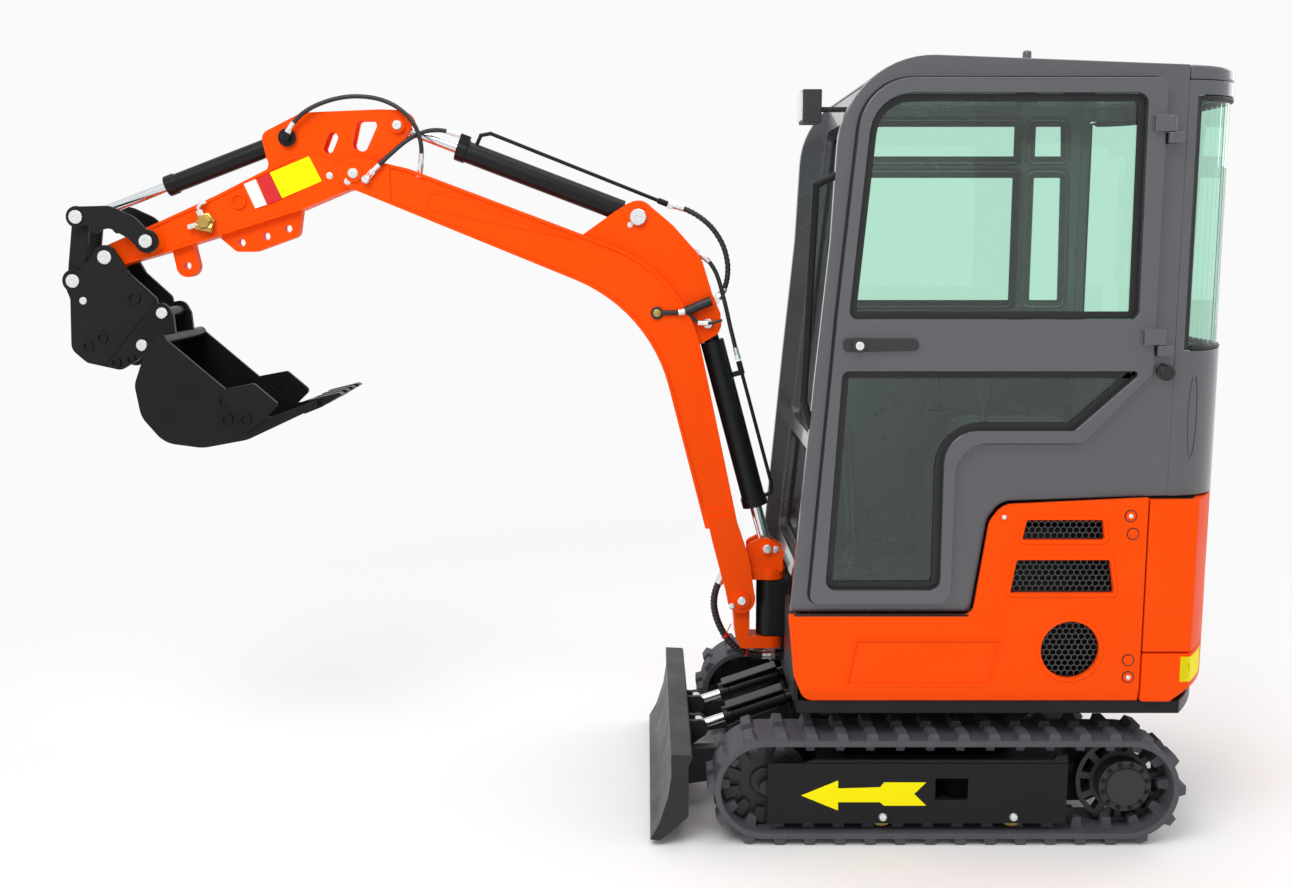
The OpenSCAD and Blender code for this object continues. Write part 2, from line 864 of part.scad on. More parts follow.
module consoles() {
    color("#2b2b2d")
        for (m = [-1, 1]) {
            translate([90, m * 345 - 70, 1050]) cube([320, 140, 150]);
            translate([130, m * 345, 1200]) cylinder(r = 10, h = 120);
            translate([130, m * 345, 1320]) cylinder(r = 20, h = 90);
        }
}

module travel_levers() {
    color("#232326")
        for (m = [-1, 1]) {
            translate([-250, m * 60 - 25, 708]) cube([120, 50, 20]);
            stick([-200, m * 60, 725], [-230, m * 60, 1180], 9);
            translate([-230, m * 60, 1180]) sphere(r = 20);
        }
}

rail_path = [[-310, -485, 1996], [-404, -485, 1951], [-430, -485, 1333], [-390, -485, 1214]];

module grab_rail() {
    color("#1c1c1e")
        difference() {
            union() {
                for (i = [0:len(rail_path) - 2]) stick(rail_path[i], rail_path[i + 1], 11);
                for (i = [1, 2]) translate(rail_path[i]) sphere(r = 12);
            }
            slab(-cab_half, -cab_half + wall_t) polygon(rounded(cab_side, 14));
        }
}

module work_lamp() {
    color("#232326") {
        translate([-430, -345, 2135]) cube([55, 110, 95]);
        translate([-378, -315, 2170]) cube([116, 50, 12]);
    }
}

// Door

module door_frame() {
    color("#5f5f63") {
        difference() {
            slab(-cab_half - 2 - door_t, -cab_half - 2) polygon(rounded(door_outline, 8));
            slab(-cab_half - 4 - door_t, -cab_half) {
                polygon(rounded(upper_window));
                polygon(rounded(lower_window));
            }
        }
        for (z = hinge_z) {
            translate([door_axis.x, door_axis.y, z])
                cylinder(r = hinge_r, h = 45);
            translate([door_axis.x - 50, door_axis.y - 6, z])
                cube([50, 18, 45]);
        }
    }
}

module door_windows() {
    color("#3f6b58")
        for (w = [upper_window, lower_window])
            slab(-cab_half - 2, -cab_half + 3) polygon(rounded(moved_in(w, -8)));
}

module door_handle() {
    color("#1c1c1e") {
        slab(-cab_half - door_t - 14, -cab_half - door_t - 2)
            polygon(rounded([[-322, 1480, 14], [-110, 1484, 14], [-110, 1518, 14], [-326, 1518, 14]]));
        pin([-280, 1499], 20, -cab_half - door_t - 24, -cab_half - door_t - 14);
    }
}

// Boom swing post

post_bracket = [[-548, 720, 0], [-440, 720, 0], [-436, 790, 20], [-480, 826, 30], [-512, 830, 20],
    [-556, 808, 20]];

module swing_post() {
    color("#ff5000") {
        difference() {
            union() {
                translate([king_x, 0, 692]) cylinder(r = 52, h = 36);
                translate([king_x, 0, 460]) cylinder(r = 48, h = 38);
                translate([-560, -48, 692]) cube([560 + king_x, 96, 36]);
                translate([-560, -48, 460]) cube([560 + king_x, 96, 38]);
                slab(-48, 48) {
                    disc(boom_foot, 46);
                    polygon([[-600, 590], [-592, 500], [-575, 460], [-546, 460], [-546, 728],
                        [-560, 728], [-605, 664]]);
                }
                both(26, 44) polygon(rounded(post_bracket));
                translate([-640, -18, 699]) cube([80, 36, 24]);
            }
            pin(boom_foot, pin_r + run, -60, 60);
        }
        translate([king_x, 0, 452]) cylinder(r = 22, h = 284);
        both(44, 50) disc(post_pin, 22);
    }
}

// Boom

// lengths of the cylinder barrels and radius of the steel tubes along them
boom_barrel_len = 620;
arm_barrel_len = 610;
tube_r = 6;

boom_beam = [
    [-1640, 2018, 0], [-1790, 2052, 30], [-1852, 2010, 30], [-1838, 1962, 30], [-1786, 1944, 0],
    [-878, 1575, 500], [-694, 866, 0], [-586, 866, 0], [-762, 1689, 450]];
boom_fork = [
    [-690, 905, 0], [-672, 826, 0], [-642, 713, 60], [-619, 632, 0], [-574, 587, 0], [-531, 640, 0],
    [-552, 773, 80], [-597, 905, 0]];
gusset = [
    [-1095, 1806, 0], [-985, 1884, 60], [-940, 1912, 20], [-875, 1902, 30], [-802, 1841, 80],
    [-712, 1741, 120], [-676, 1625, 80], [-648, 1560, 25], [-652, 1500, 25], [-735, 1452, 0],
    [-900, 1690, 0]];

// width and height of the lips along the boom's edges
lip_w = 9;
lip_h = 6;

module boom_panel() {
    intersection() {
        polygon(rounded(moved_in(boom_beam, lip_w), 12));
        polygon([[-1690, 2200], [-1690, 1400], [-900, 930], [-400, 930], [-400, 2200]]);
    }
}

module boom() {
    color("#ff5000") {
        difference() {
            union() {
                difference() {
                    slab(-boom_half, boom_half) {
                        polygon(rounded(boom_beam, 12));
                        disc(boom_tip, 47);
                    }
                    both(boom_half - lip_h, boom_half + 1) boom_panel();
                }
                both(boom_half - 10, boom_half + 8) {
                    polygon(rounded(boom_fork));
                    disc(boom_foot, 43);
                }
                both(26, 42) {
                    polygon(rounded(gusset));
                    disc(arm_cyl_base, 52);
                    disc(boom_cyl_top, 44);
                }
            }
            slab(-arm_half - 4, arm_half + 4) {
                disc(boom_tip, 82);
                polygon([[-1700, 2120], [-1900, 2120], [-1900, 1900], [-1785, 1900], [-1740, 1948],
                    [-1722, 1985]]);
            }
            slab(-26, 26) {
                disc(arm_cyl_base, 60);
                disc(boom_cyl_top, 56);
                bar(boom_cyl_top, [-560, 1050], 112);
            }
            along(arm_cyl_base, arm_rod_pin) cyl_x(arm_cyl_r + 8, arm_cyl_r * 1.6 - 3, 700);
            along(boom_cyl_top, post_pin) cyl_x(boom_cyl_r + 10, boom_cyl_r * 1.6 - 3, 300);
            pin(boom_tip, pin_r + run, -100, 100);
        }
        both(50, boom_half + 14) disc(boom_foot, pin_r);
        slab(-51, 51) disc(boom_foot, pin_r);
        both(boom_half + 8, boom_half + 16) disc(boom_foot, pin_r + 6);
        pin(arm_cyl_base, 18, -50, 50);
        pin(boom_cyl_top, 18, -50, 50);
        pin([-664, 1603], 12, -30, 30);
        pin([-728, 1754], 12, -30, 30);
        pin([-1762, 1982], 12, -84, -boom_half + 2);
        stick([-1762, -74, 1982], [-1746, -74, 2000], hose_r + 2);
        translate([-1597, -50, 1985]) cylinder(r = hose_r + 3, h = 26);
    }
}

module boom_cylinder_barrel() {
    color("#1c1c1e") {
        barrel(boom_cyl_top, post_pin, boom_cyl_r, 20, boom_barrel_len, 26 - side, 18);
        along(boom_cyl_top, post_pin) {
            bent_tube([[147, 0, 67], [560, 0, 69], [590, 0, 62], [600, 0, 30]], tube_r);
            stick([147, 0, 67], [190, 0, 67.2], tube_r + 3.5);
            translate([176, -9, 30]) cube([16, 18, 36]);
        }
    }
}

module boom_cylinder_rod() {
    color("#c9ccd0") rod(boom_cyl_top, post_pin, 20, 270, 26 - side, 30, 15);
}

module arm_cylinder_barrel() {
    color("#1c1c1e") {
        barrel(arm_cyl_base, arm_rod_pin, arm_cyl_r, 18, arm_barrel_len, 26 - side, 18);
        along(arm_cyl_base, arm_rod_pin) {
            bent_tube([[558, 0, -28], [555, 0, -64], [528, 0, -80], [-60, 0, -71.5]], tube_r);
            stick([-40, 0, -71.8], [-74, 0, -71.5], tube_r + 3.5);
            translate([arm_barrel_len - 32, -36, -48]) cube([32, 22, 30]);
        }
    }
}

module arm_cylinder_rod() {
    color("#c9ccd0") rod(arm_cyl_base, arm_rod_pin, 18, 300, 26 - side, 32, 15);
}

// Arm

arm_outline = [
    [-1832, 1948, 30], [-1770, 1962, 30], [-1742, 2030, 40], [-1648, 2104, 30], [-1618, 2150, 30],
    [-1624, 2196, 40], [-1720, 2199, 0], [-1965, 2189, 60], [-2096, 2124, 30], [-2080, 2050, 20],
    [-2052, 2024, 30], [-2241, 1934, 0], [-2450, 1841, 0], [-2600, 1776, 20], [-2620, 1726, 20],
    [-2575, 1705, 20], [-2535, 1720, 0], [-2391, 1760, 0], [-1976, 1888, 0]];
// box beam of the arm, proud of the bracket plates over it
arm_beam = [
    [-1832, 1948, 30], [-1770, 1962, 30], [-1748, 2010, 30], [-1838, 2024, 30], [-1884, 2046, 30],
    [-1938, 2064, 40], [-1999, 2054, 50], [-2241, 1934, 0], [-2450, 1841, 0], [-2600, 1776, 20],
    [-2620, 1726, 20], [-2575, 1705, 20], [-2535, 1720, 0], [-2391, 1760, 0], [-1976, 1888, 0]];
// how far the bracket plates stand in from the beam
arm_step = 5;
arm_slot = [
    [-2130, 1998, 0], [-2060, 2040, 0], [-1930, 2052, 0], [-1860, 2040, 0], [-1740, 2062, 0],
    [-1600, 2062, 0], [-1600, 2280, 0], [-2130, 2280, 0]];
thumb_plate = [
    [-2240, 1800, 0], [-2190, 1757, 20], [-2129, 1757, 30], [-1991, 1806, 25], [-1976, 1900, 0],
    [-2200, 1850, 0]];
thumb_ear = [-2350, 1713];
thumb_holes = [[-2174, 1786], [-2094, 1806], [-2024, 1830]];
arm_window = [[-1906, 2068, 14], [-1874, 2062, 14], [-1849, 2117, 16], [-1877, 2139, 14]];
arm_window2 = [[-1812, 2080, 16], [-1768, 2066, 18], [-1728, 2150, 14], [-1738, 2166, 10], [-1792, 2166, 14]];

module arm_panel() {
    intersection() {
        polygon(rounded(moved_in(arm_beam, lip_w)));
        translate([-2530, 1600]) square([545, 500]);
    }
}

module arm() {
    color("#ff5000")
        difference() {
            union() {
                slab(-arm_half + arm_step, arm_half - arm_step) polygon(rounded(arm_outline, 9));
                difference() {
                    slab(-arm_half, arm_half) polygon(rounded(arm_beam));
                    both(arm_half - arm_step + 1, arm_half + 1) arm_panel();
                }
                slab(-arm_half, arm_half) {
                    disc(boom_tip, 50);
                    disc(arm_tip, 38);
                    disc(rocker_pin, 38);
                }
                slab(-20, 20) {
                    polygon(rounded(thumb_plate));
                    bar(thumb_ear, [-2362, 1775], 72);
                }
                both(30, 48) disc(arm_rod_pin, 24);
                pin(bucket_cyl_base, 16, -48, 48);
                pin(bucket_cyl_base, 12, -70, -40);
                stick([-2010, -60, 2112], [-2006, -60, 2122], hose_r + 2);
            }
            slab(-26, 26) polygon(rounded(arm_slot));
            for (a = [0, 9])
                along(bucket_cyl_base, rod_pin)
                    rotate([0, a, 0]) cyl_x(bucket_cyl_r + 8, bucket_cyl_r * 1.6 - 3, 300);
            slab(-60, 60) {
                disc(arm_tip, 17 + run);
                disc(rocker_pin, link_pin_r + run);
                disc(thumb_ear, thumb_bore_r);
                for (p = thumb_holes) disc(p, thumb_bore_r);
                polygon(rounded(arm_window));
                polygon(rounded(arm_window2));
            }
        }
    color("#c9ccd0") {
        pin(bucket_cyl_base, 16, -30, 30);
        pin(boom_tip, pin_r, -boom_half - 8, boom_half + 8);
        both(boom_half + 1, boom_half + 8) disc(boom_tip, pin_r + 7);
    }
}

module bucket_cylinder_barrel() {
    color("#1c1c1e") barrel(bucket_cyl_base, rod_pin, bucket_cyl_r, 16, 425, 26 - side, 16);
}

module bucket_cylinder_rod() {
    color("#c9ccd0") rod(bucket_cyl_base, rod_pin, 16, 320, 24, 30, 15.5);
}

// Bucket linkage, from the inside out: rod eye, link plates, hitch plates, rocker plates
link_in = 50;
link_out = 62;
hitch_in = 67;
hitch_out = 81;
rocker_in = 86;
rocker_out = 98;
rocker_arch = [
    [-2690, 1848, 0], [-2640, 1846, 0], [-2611, 1812, 10], [-2569, 1836, 40], [-2503, 1797, 40],
    [-2478, 1770, 0],
    [-2414, 1790, 0], [-2483, 1866, 70], [-2559, 1901, 70], [-2676, 1898, 10]];

module rocker_links() {
    color("#1c1c1e") {
        both(rocker_in, rocker_out) {
            polygon(rounded(rocker_arch));
            disc(rocker_pin, 37);
            disc(rod_pin, 34);
        }
        both(link_in - 4, rocker_out + 4) disc(rod_pin, link_pin_r);
        pin(rocker_pin, link_pin_r, -rocker_out - 4, rocker_out + 4);
        both(rocker_out - 1, rocker_out + 5) {
            disc(rod_pin, 20);
            disc(rocker_pin, 20);
        }
    }
}

module bucket_link() {
    color("#1c1c1e")
        difference() {
            both(link_in, link_out) bar(rod_pin, link_pin, 56);
            both(link_in - 1, link_out + 1) {
                disc(rod_pin, link_pin_r + run);
                disc(link_pin, link_pin_r + run);
            }
        }
}

hitch_outline = [
    [-2722, 1655, 20], [-2706, 1610, 30], [-2712, 1450, 40], [-2664, 1408, 30], [-2557, 1384, 30],
    [-2500, 1418, 20],
    [-2425, 1530, 30], [-2432, 1612, 20], [-2515, 1690, 30], [-2548, 1748, 0], [-2600, 1775, 20],
    [-2660, 1712, 30]];
hitch_block = [
    [-2694, 1450, 20], [-2560, 1400, 20], [-2500, 1440, 0], [-2440, 1530, 20], [-2450, 1590, 20],
    [-2540, 1620, 30],
    [-2640, 1570, 30]];

module quick_hitch() {
    color("#1c1c1e") {
        difference() {
            union() {
                both(hitch_in, hitch_out) {
                    polygon(rounded(hitch_outline));
                    disc(arm_tip, 38);
                    disc(link_pin, 36);
                }
                slab(-hitch_in - 1, hitch_in + 1)
                    difference() {
                        polygon(rounded(hitch_block));
                        polygon(rounded(moved_in(hitch_block, 16)));
                    }
            }
            slab(-100, 100) {
                disc(hook_pin, 17);
                disc(back_pin, 17);
            }
        }
        pin(arm_tip, 17, -hitch_out, hitch_out);
        both(hitch_out - 1, hitch_out + 4) {
            disc(arm_tip, 22);
            disc(link_pin, 21);
        }
    }
}

// bucket outline from the hinge round the back to the lip, then back along the opening
bucket_outer = [
    [-2368, 1490, 12], [-2425, 1482, 20], [-2474, 1350, 60], [-2458, 1250, 80], [-2390, 1168, 90],
    [-2270, 1152, 120],
    [-2130, 1178, 100], [-1905, 1283, 0]];
lip_top = [-1912, 1300];

module bucket_area() {
    polygon(rounded(concat(bucket_outer, [[lip_top.x, lip_top.y, 0], [-2082, 1241, 60]]), 12));
}

bucket_inner = [
    [-2340, 1520, 0], [-2400, 1466, 14], [-2458, 1350, 50], [-2444, 1258, 70], [-2384, 1182, 78],
    [-2272, 1166, 110],
    [-2136, 1192, 90], [-1900, 1302, 0], [-1900, 1600, 0]];
cutter = [[-2206, 1336, 0], [-2100, 1356, 14], [-2024, 1290, 14], [-2078, 1238, 0], [-2130, 1200, 0]];
ear_outline = [
    [-2400, 1450, 20], [-2462, 1400, 0], [-2478, 1420, 20], [-2512, 1470, 30], [-2452, 1590, 30],
    [-2400, 1602, 30],
    [-2378, 1560, 30], [-2372, 1484, 10]];

module bucket() {
    color("#2a2a2c") {
        slab(-bucket_w / 2, bucket_w / 2)
            difference() {
                bucket_area();
                polygon(rounded(bucket_inner, 12));
            }
        both(bucket_w / 2 - bucket_t, bucket_w / 2) {
            bucket_area();
            polygon(rounded([
                [-2368, 1490, 0], [-2425, 1482, 0], [-2390, 1180, 0], [-2130, 1180, 0], [-2082, 1241, 0]]));
        }
        both(bucket_w / 2 - 2, bucket_w / 2 + 12) polygon(rounded(cutter));
        both(hitch_out, hitch_out + 14) polygon(rounded(ear_outline));
        slab(-bucket_w / 2, bucket_w / 2) disc([-2386, 1488], 18);
        for (p = [hook_pin, back_pin]) pin(p, 16.5, -hitch_out - 20, hitch_out + 20);
        for (k = [0:3])
            slab(-160 + k * 92, -160 + k * 92 + 44)
                polygon([[-1960, 1254], [-1945, 1298], [-1850, 1322], [-1838, 1316], [-1905, 1276]]);
    }
}

// Hoses

module bucket_hose() {
    color("#1a1a1c") hose(bucket_route, hose_r);
}

module arm_hose() {
    color("#1a1a1c") hose(arm_route, hose_r);
}

module boom_hose() {
    color("#1a1a1c") hose(boom_route, guarded_hose_r);
}

module lift_hose() {
    color("#1a1a1c") hose(lift_route, hose_r);
}

module foot_hose() {
    color("#1a1a1c") hose(foot_route, bundle_r);
}

undercarriage_frame();
track_left();
track_right();
front_idlers();
drive_sprockets();
travel_motors();
track_rollers();
slew_ring();
dozer_blade();
blade_cylinder_barrels();
blade_cylinder_rods();
house_frame();
left_side_cover();
right_side_cover();
front_cover();
counterweight();
rear_hood();
engine();
cab_left_frame();
cab_right_wall();
cab_front_frame();
cab_rear_wall();
cab_roof();
cab_floor();
windscreen();
right_windows();
rear_window();
seat();
consoles();
travel_levers();
grab_rail();
work_lamp();
door_frame();
door_windows();
door_handle();
swing_post();
boom();
boom_cylinder_barrel();
boom_cylinder_rod();
arm_cylinder_barrel();
arm_cylinder_rod();
arm();
bucket_cylinder_barrel();
bucket_cylinder_rod();
rocker_links();
bucket_link();
quick_hitch();
bucket();
bucket_hose();
arm_hose();
boom_hose();
lift_hose();
foot_hose();
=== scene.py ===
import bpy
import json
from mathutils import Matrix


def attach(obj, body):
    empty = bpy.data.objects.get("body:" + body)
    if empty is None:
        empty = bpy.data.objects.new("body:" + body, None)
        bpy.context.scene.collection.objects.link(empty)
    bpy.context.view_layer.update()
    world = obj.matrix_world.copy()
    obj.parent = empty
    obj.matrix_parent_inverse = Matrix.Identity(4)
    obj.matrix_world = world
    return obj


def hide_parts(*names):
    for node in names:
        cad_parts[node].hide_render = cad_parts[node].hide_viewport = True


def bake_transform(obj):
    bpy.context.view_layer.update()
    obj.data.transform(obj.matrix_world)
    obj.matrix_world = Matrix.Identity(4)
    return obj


bl_info = {
    "name": "Mini excavator looks",
    "version": (1, 0, 0),
    "blender": (4, 5, 0),
    "location": "3D View > Sidebar > Excavator",
    "description": "Paints the packed excavator and adds seals, meshes, bolts, hoses, cushions and a stage",
    "category": "Object",
}

import json
import math

import bmesh
import bpy
from bpy.props import FloatProperty, FloatVectorProperty, PointerProperty
from mathutils import Vector
from mathutils.geometry import intersect_point_line

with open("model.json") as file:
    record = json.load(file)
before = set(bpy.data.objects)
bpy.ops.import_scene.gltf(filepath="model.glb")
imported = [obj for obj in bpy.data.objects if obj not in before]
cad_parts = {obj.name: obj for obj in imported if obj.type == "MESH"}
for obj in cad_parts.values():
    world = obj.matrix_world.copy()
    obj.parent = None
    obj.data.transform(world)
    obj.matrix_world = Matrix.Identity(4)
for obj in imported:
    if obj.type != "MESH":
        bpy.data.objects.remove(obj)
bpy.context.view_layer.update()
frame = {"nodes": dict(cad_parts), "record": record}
NODES = frame["nodes"]
MM = 0.001
MICRON = 1e-6
LEFT = Vector((0, -1, 0))
RIGHT = Vector((0, 1, 0))
SIDES = (LEFT, RIGHT)
UP = Vector((0, 0, 1))
HEX_TURNS = [math.pi / 6 + math.pi / 3 * k for k in range(6)]


def linear(code):
    """Linear RGB of an sRGB hex colour."""
    parts = [int(code[i : i + 2], 16) / 255 for i in (1, 3, 5)]
    return tuple(c / 12.92 if c <= 0.04045 else ((c + 0.055) / 1.055) ** 2.4 for c in parts)


def opaque(code):
    """Linear RGBA of an sRGB hex colour."""
    return (*linear(code), 1.0)


def per_metre(size_mm):
    """Texture scale that gives a pattern of this size in millimetres."""
    return 1000 / size_mm


def add(tree, kind, props=None, **sockets):
    """Adds a node, sets its properties, and sets or links its sockets."""
    made = tree.nodes.new(kind)
    for key, value in (props or {}).items():
        setattr(made, key, value)
    for key, value in sockets.items():
        name = key.replace("_", " ")
        socket = made.inputs[int(key[1:])] if key[1:].isdigit() else made.inputs[name]
        if isinstance(value, bpy.types.NodeSocket):
            tree.links.new(value, socket)
        else:
            socket.default_value = value
    return made


# Sizes and colours that a user would change


class PaintSettings(bpy.types.PropertyGroup):
    """Colours of the machine."""

    orange: FloatVectorProperty(
        name="Body orange", description="Covers, boom and arm", subtype="COLOR", default=linear("#FF4F00")
    )
    grey: FloatVectorProperty(
        name="Cab grey", description="Cab frame, door and roof", subtype="COLOR", default=linear("#55565B")
    )
    black: FloatVectorProperty(
        name="Frame black", description="Track frame, hitch and cylinders", subtype="COLOR",
        default=linear("#131416"),
    )
    rubber: FloatVectorProperty(
        name="Track rubber", description="Tracks and hoses", subtype="COLOR", default=linear("#4E4E54")
    )
    yellow: FloatVectorProperty(
        name="Film yellow", description="Arrow and blank labels", subtype="COLOR", default=linear("#FFF000")
    )
    glass: FloatVectorProperty(
        name="Glass tint", description="Tint of one pane", subtype="COLOR", default=linear("#D6F3E6")
    )


class DetailSettings(bpy.types.PropertyGroup):
    """Sizes of the added details."""

    edge: FloatProperty(
        name="Edge rounding", description="Rounding of plate edges", default=2.2 * MM, unit="LENGTH"
    )
    mesh_pitch: FloatProperty(
        name="Mesh pitch", description="Distance between vent mesh cells", default=18.5 * MM, unit="LENGTH"
    )
    mesh_wire: FloatProperty(
        name="Mesh wire", description="Width of the vent mesh walls", default=3 * MM, unit="LENGTH"
    )
    seal: FloatProperty(
        name="Seal lip", description="Visible width of the window seals", default=22 * MM, unit="LENGTH"
    )
    cushion_rise: FloatProperty(
        name="Cushion rise", description="How far a cushion may swell", default=18 * MM, unit="LENGTH"
    )


def paint():
    return bpy.context.scene.excavator_paint


def detail():
    return bpy.context.scene.excavator_detail


# Materials


def start(name):
    """New material with its node tree and Principled shader."""
    made = bpy.data.materials.new(name)
    made.use_nodes = True
    return made, made.node_tree, made.node_tree.nodes["Principled BSDF"]


def put(tree, shader, **sockets):
    """Sets or links sockets of a shader."""
    for key, value in sockets.items():
        socket = shader.inputs[key.replace("_", " ")]
        if isinstance(value, bpy.types.NodeSocket):
            tree.links.new(value, socket)
        else:
            socket.default_value = value


def spread(tree, shader, colour, drift, rough, grain):
    """Gives a shader slow colour drift, patchy roughness and a fine bump, all in object space.

    Drift is a size in mm and a share of the colour, grain a size in mm and a depth in micrometres.
    """
    place = add(tree, "ShaderNodeTexCoord").outputs["Object"]
    slow = add(
        tree, "ShaderNodeTexNoise", Vector=place, Scale=per_metre(drift[0]), Detail=4.0, Roughness=0.6
    ).outputs["Fac"]
    dark = tuple(c * (1 - drift[1]) for c in colour)
    pale = tuple(min(1.0, c * (1 + drift[1]) + LEAST_DRIFT) for c in colour)
    tone = add(tree, "ShaderNodeMix", {"data_type": "RGBA"}, i0=slow, i6=(*dark, 1), i7=(*pale, 1))
    gloss = add(
        tree, "ShaderNodeMapRange",
        Value=slow, From_Min=0.3, From_Max=0.7, To_Min=rough[0], To_Max=rough[1],
    )
    fine = add(tree, "ShaderNodeTexNoise", Vector=place, Scale=per_metre(grain[0]), Detail=2.0)
    bump = add(tree, "ShaderNodeBump", Strength=0.6, Distance=grain[1] * MICRON, Height=fine.outputs["Fac"])
    put(
        tree, shader, Base_Color=tone.outputs[2], Roughness=gloss.outputs["Result"],
        Normal=bump.outputs["Normal"],
    )


def coated(material, colour, drift, rough, grain, **sockets):
    """Opaque material from a row of FINISHES; the colour is a hex value or a name in PaintSettings."""
    made, tree, shader = start(material)
    base = linear(colour) if colour.startswith("#") else getattr(paint(), colour)
    spread(tree, shader, base, drift, rough, grain)
    put(tree, shader, **sockets)
    return made


def tinted_glass():
    """Toughened green float glass: clear and smooth, tint set by one pane, roller waves too slow to see."""
    made, tree, shader = start("float_glass_green_toughened")
    place = add(tree, "ShaderNodeTexCoord").outputs["Object"]
    wave = add(tree, "ShaderNodeTexNoise", Vector=place, Scale=per_metre(400))
    bump = add(tree, "ShaderNodeBump", Strength=0.15, Distance=400 * MICRON, Height=wave.outputs["Fac"])
    put(tree, shader, Base_Color=(*paint().glass, 1), Roughness=0.0, IOR=1.5, Normal=bump.outputs["Normal"])
    put(tree, shader, Transmission_Weight=1.0)
    return made


# added to the pale end of a drift, so that a black drifts too
LEAST_DRIFT = 0.004
# drift, rough and grain are as in spread, and the other values are sockets of the shader
FINISHES = {
    # baked enamel on sheet steel: even colour under a clear gloss with a little orange peel
    "body_paint": dict(
        material="baked_enamel_orange_sprayed", colour="orange",
        drift=(260, 0.03), rough=(0.34, 0.44), grain=(5, 60),
        Specular_IOR_Level=0.05, Coat_Weight=0.02, Coat_Roughness=0.12),
    # metallic lacquer on cab panels: mica flakes under clear lacquer give a soft sheen
    "cab_paint": dict(
        material="metallic_lacquer_grey_sprayed", colour="grey",
        drift=(320, 0.04), rough=(0.24, 0.32), grain=(12, 8),
        Metallic=0.35, Coat_Weight=0.7, Coat_Roughness=0.06),
    # powder coat on plate and cylinders: satin with a fine pebble, drawn at 2.5 mm so that it shows
    "black_paint": dict(
        material="powder_coat_black_baked", colour="black",
        drift=(180, 0.12), rough=(0.28, 0.4), grain=(2.5, 60), Specular_IOR_Level=0.2),
    # brushed-on black enamel on rolled plate: semi-gloss with rubbed patches
    "bucket_paint": dict(
        material="enamel_black_on_rolled_plate", colour="#121214",
        drift=(90, 0.22), rough=(0.26, 0.42), grain=(9, 120), Specular_IOR_Level=0.18),
    # charcoal enamel on the dozer blade: satin, a little chalky, with soil-rubbed drift
    "blade_paint": dict(
        material="enamel_charcoal_on_plate", colour="#28292C",
        drift=(140, 0.14), rough=(0.36, 0.52), grain=(4, 90), Specular_IOR_Level=0.25),
    # moulded natural rubber: matt, a grey bloom on high spots and mould grain of 4 mm
    "track_rubber": dict(
        material="natural_rubber_moulded", colour="rubber",
        drift=(70, 0.24), rough=(0.56, 0.78), grain=(4, 260), Specular_IOR_Level=0.35),
    # hose cover rubber: extruded black with a wrapped-cloth bump 3 mm apart
    "hose_rubber": dict(
        material="hose_rubber_extruded", colour="#1A1A1C",
        drift=(60, 0.15), rough=(0.4, 0.55), grain=(3, 160)),
    # painted cast iron: dark grey, satin, with a sand-cast pebble of 3 mm
    "cast_parts": dict(
        material="cast_iron_sand_cast_painted", colour="#202124",
        drift=(60, 0.18), rough=(0.42, 0.6), grain=(3, 380)),
    # hard chrome on piston rods: mirror-bright ground steel with faint grinding drift
    "rod_chrome": dict(
        material="hard_chrome_ground", colour="#D9DCDF",
        drift=(40, 0.03), rough=(0.16, 0.22), grain=(60, 2), Metallic=1.0),
    # bright zinc plate on pins and bolts: pale bluish metal with cloudy spangle
    "pin_zinc": dict(
        material="zinc_plate_bright_dipped", colour="#E3E5E4",
        drift=(9, 0.08), rough=(0.24, 0.4), grain=(2, 30), Metallic=0.85),
    # yellow chromate on fittings: brassy film over zinc
    "fitting_brass": dict(
        material="zinc_plate_yellow_chromate", colour="#B99B52",
        drift=(8, 0.2), rough=(0.26, 0.42), grain=(2, 40), Metallic=0.8),
    # bare steel of the slewing ring: turned, with oil-dark drift
    "bare_steel": dict(
        material="bare_steel_turned", colour="#6F7073",
        drift=(50, 0.2), rough=(0.3, 0.45), grain=(1.5, 20), Metallic=1.0),
    # moulded ABS trim: dark, satin, with spark-eroded grain of 2 mm
    "black_plastic": dict(
        material="abs_black_moulded", colour="#242527",
        drift=(120, 0.08), rough=(0.42, 0.56), grain=(2, 120)),
    # dip-coated steel mesh: black with a wet gloss that shows its walls
    "mesh_coat": dict(
        material="dip_coat_black_on_steel_mesh", colour="#3A3A3C",
        drift=(60, 0.15), rough=(0.2, 0.34), grain=(4, 60)),
    # extruded EPDM seals: deep black, soft sheen; the same black is also the painted shade behind the hood
    # gap and round the cover plugs
    "seal": dict(
        material="epdm_rubber_extruded", colour="#121214",
        drift=(50, 0.1), rough=(0.42, 0.6), grain=(3, 60)),
    # embossed vinyl on foam: black, leather grain of 5 mm with soft highlights
    "seat_vinyl": dict(
        material="vinyl_black_embossed", colour="#232325",
        drift=(90, 0.1), rough=(0.4, 0.55), grain=(5, 500), Sheen_Weight=0.15),
    # printed vinyl films: flat strong colours, faint satin
    "film_yellow": dict(
        material="vinyl_film_yellow_printed", colour="yellow",
        drift=(150, 0.02), rough=(0.35, 0.45), grain=(6, 20), Specular_IOR_Level=0.1),
    "film_red": dict(
        material="vinyl_film_red_printed", colour="#D3121B",
        drift=(120, 0.03), rough=(0.35, 0.45), grain=(6, 20)),
    "film_white": dict(
        material="vinyl_film_white_printed", colour="#EDEDEA",
        drift=(120, 0.02), rough=(0.35, 0.45), grain=(6, 20)),
    # clear moulded lens: pale, prismed 6 mm apart
    "lamp_lens": dict(
        material="polycarbonate_clear_moulded", colour="#DADDE0",
        drift=(40, 0.05), rough=(0.08, 0.16), grain=(6, 300), Coat_Weight=0.6),
}
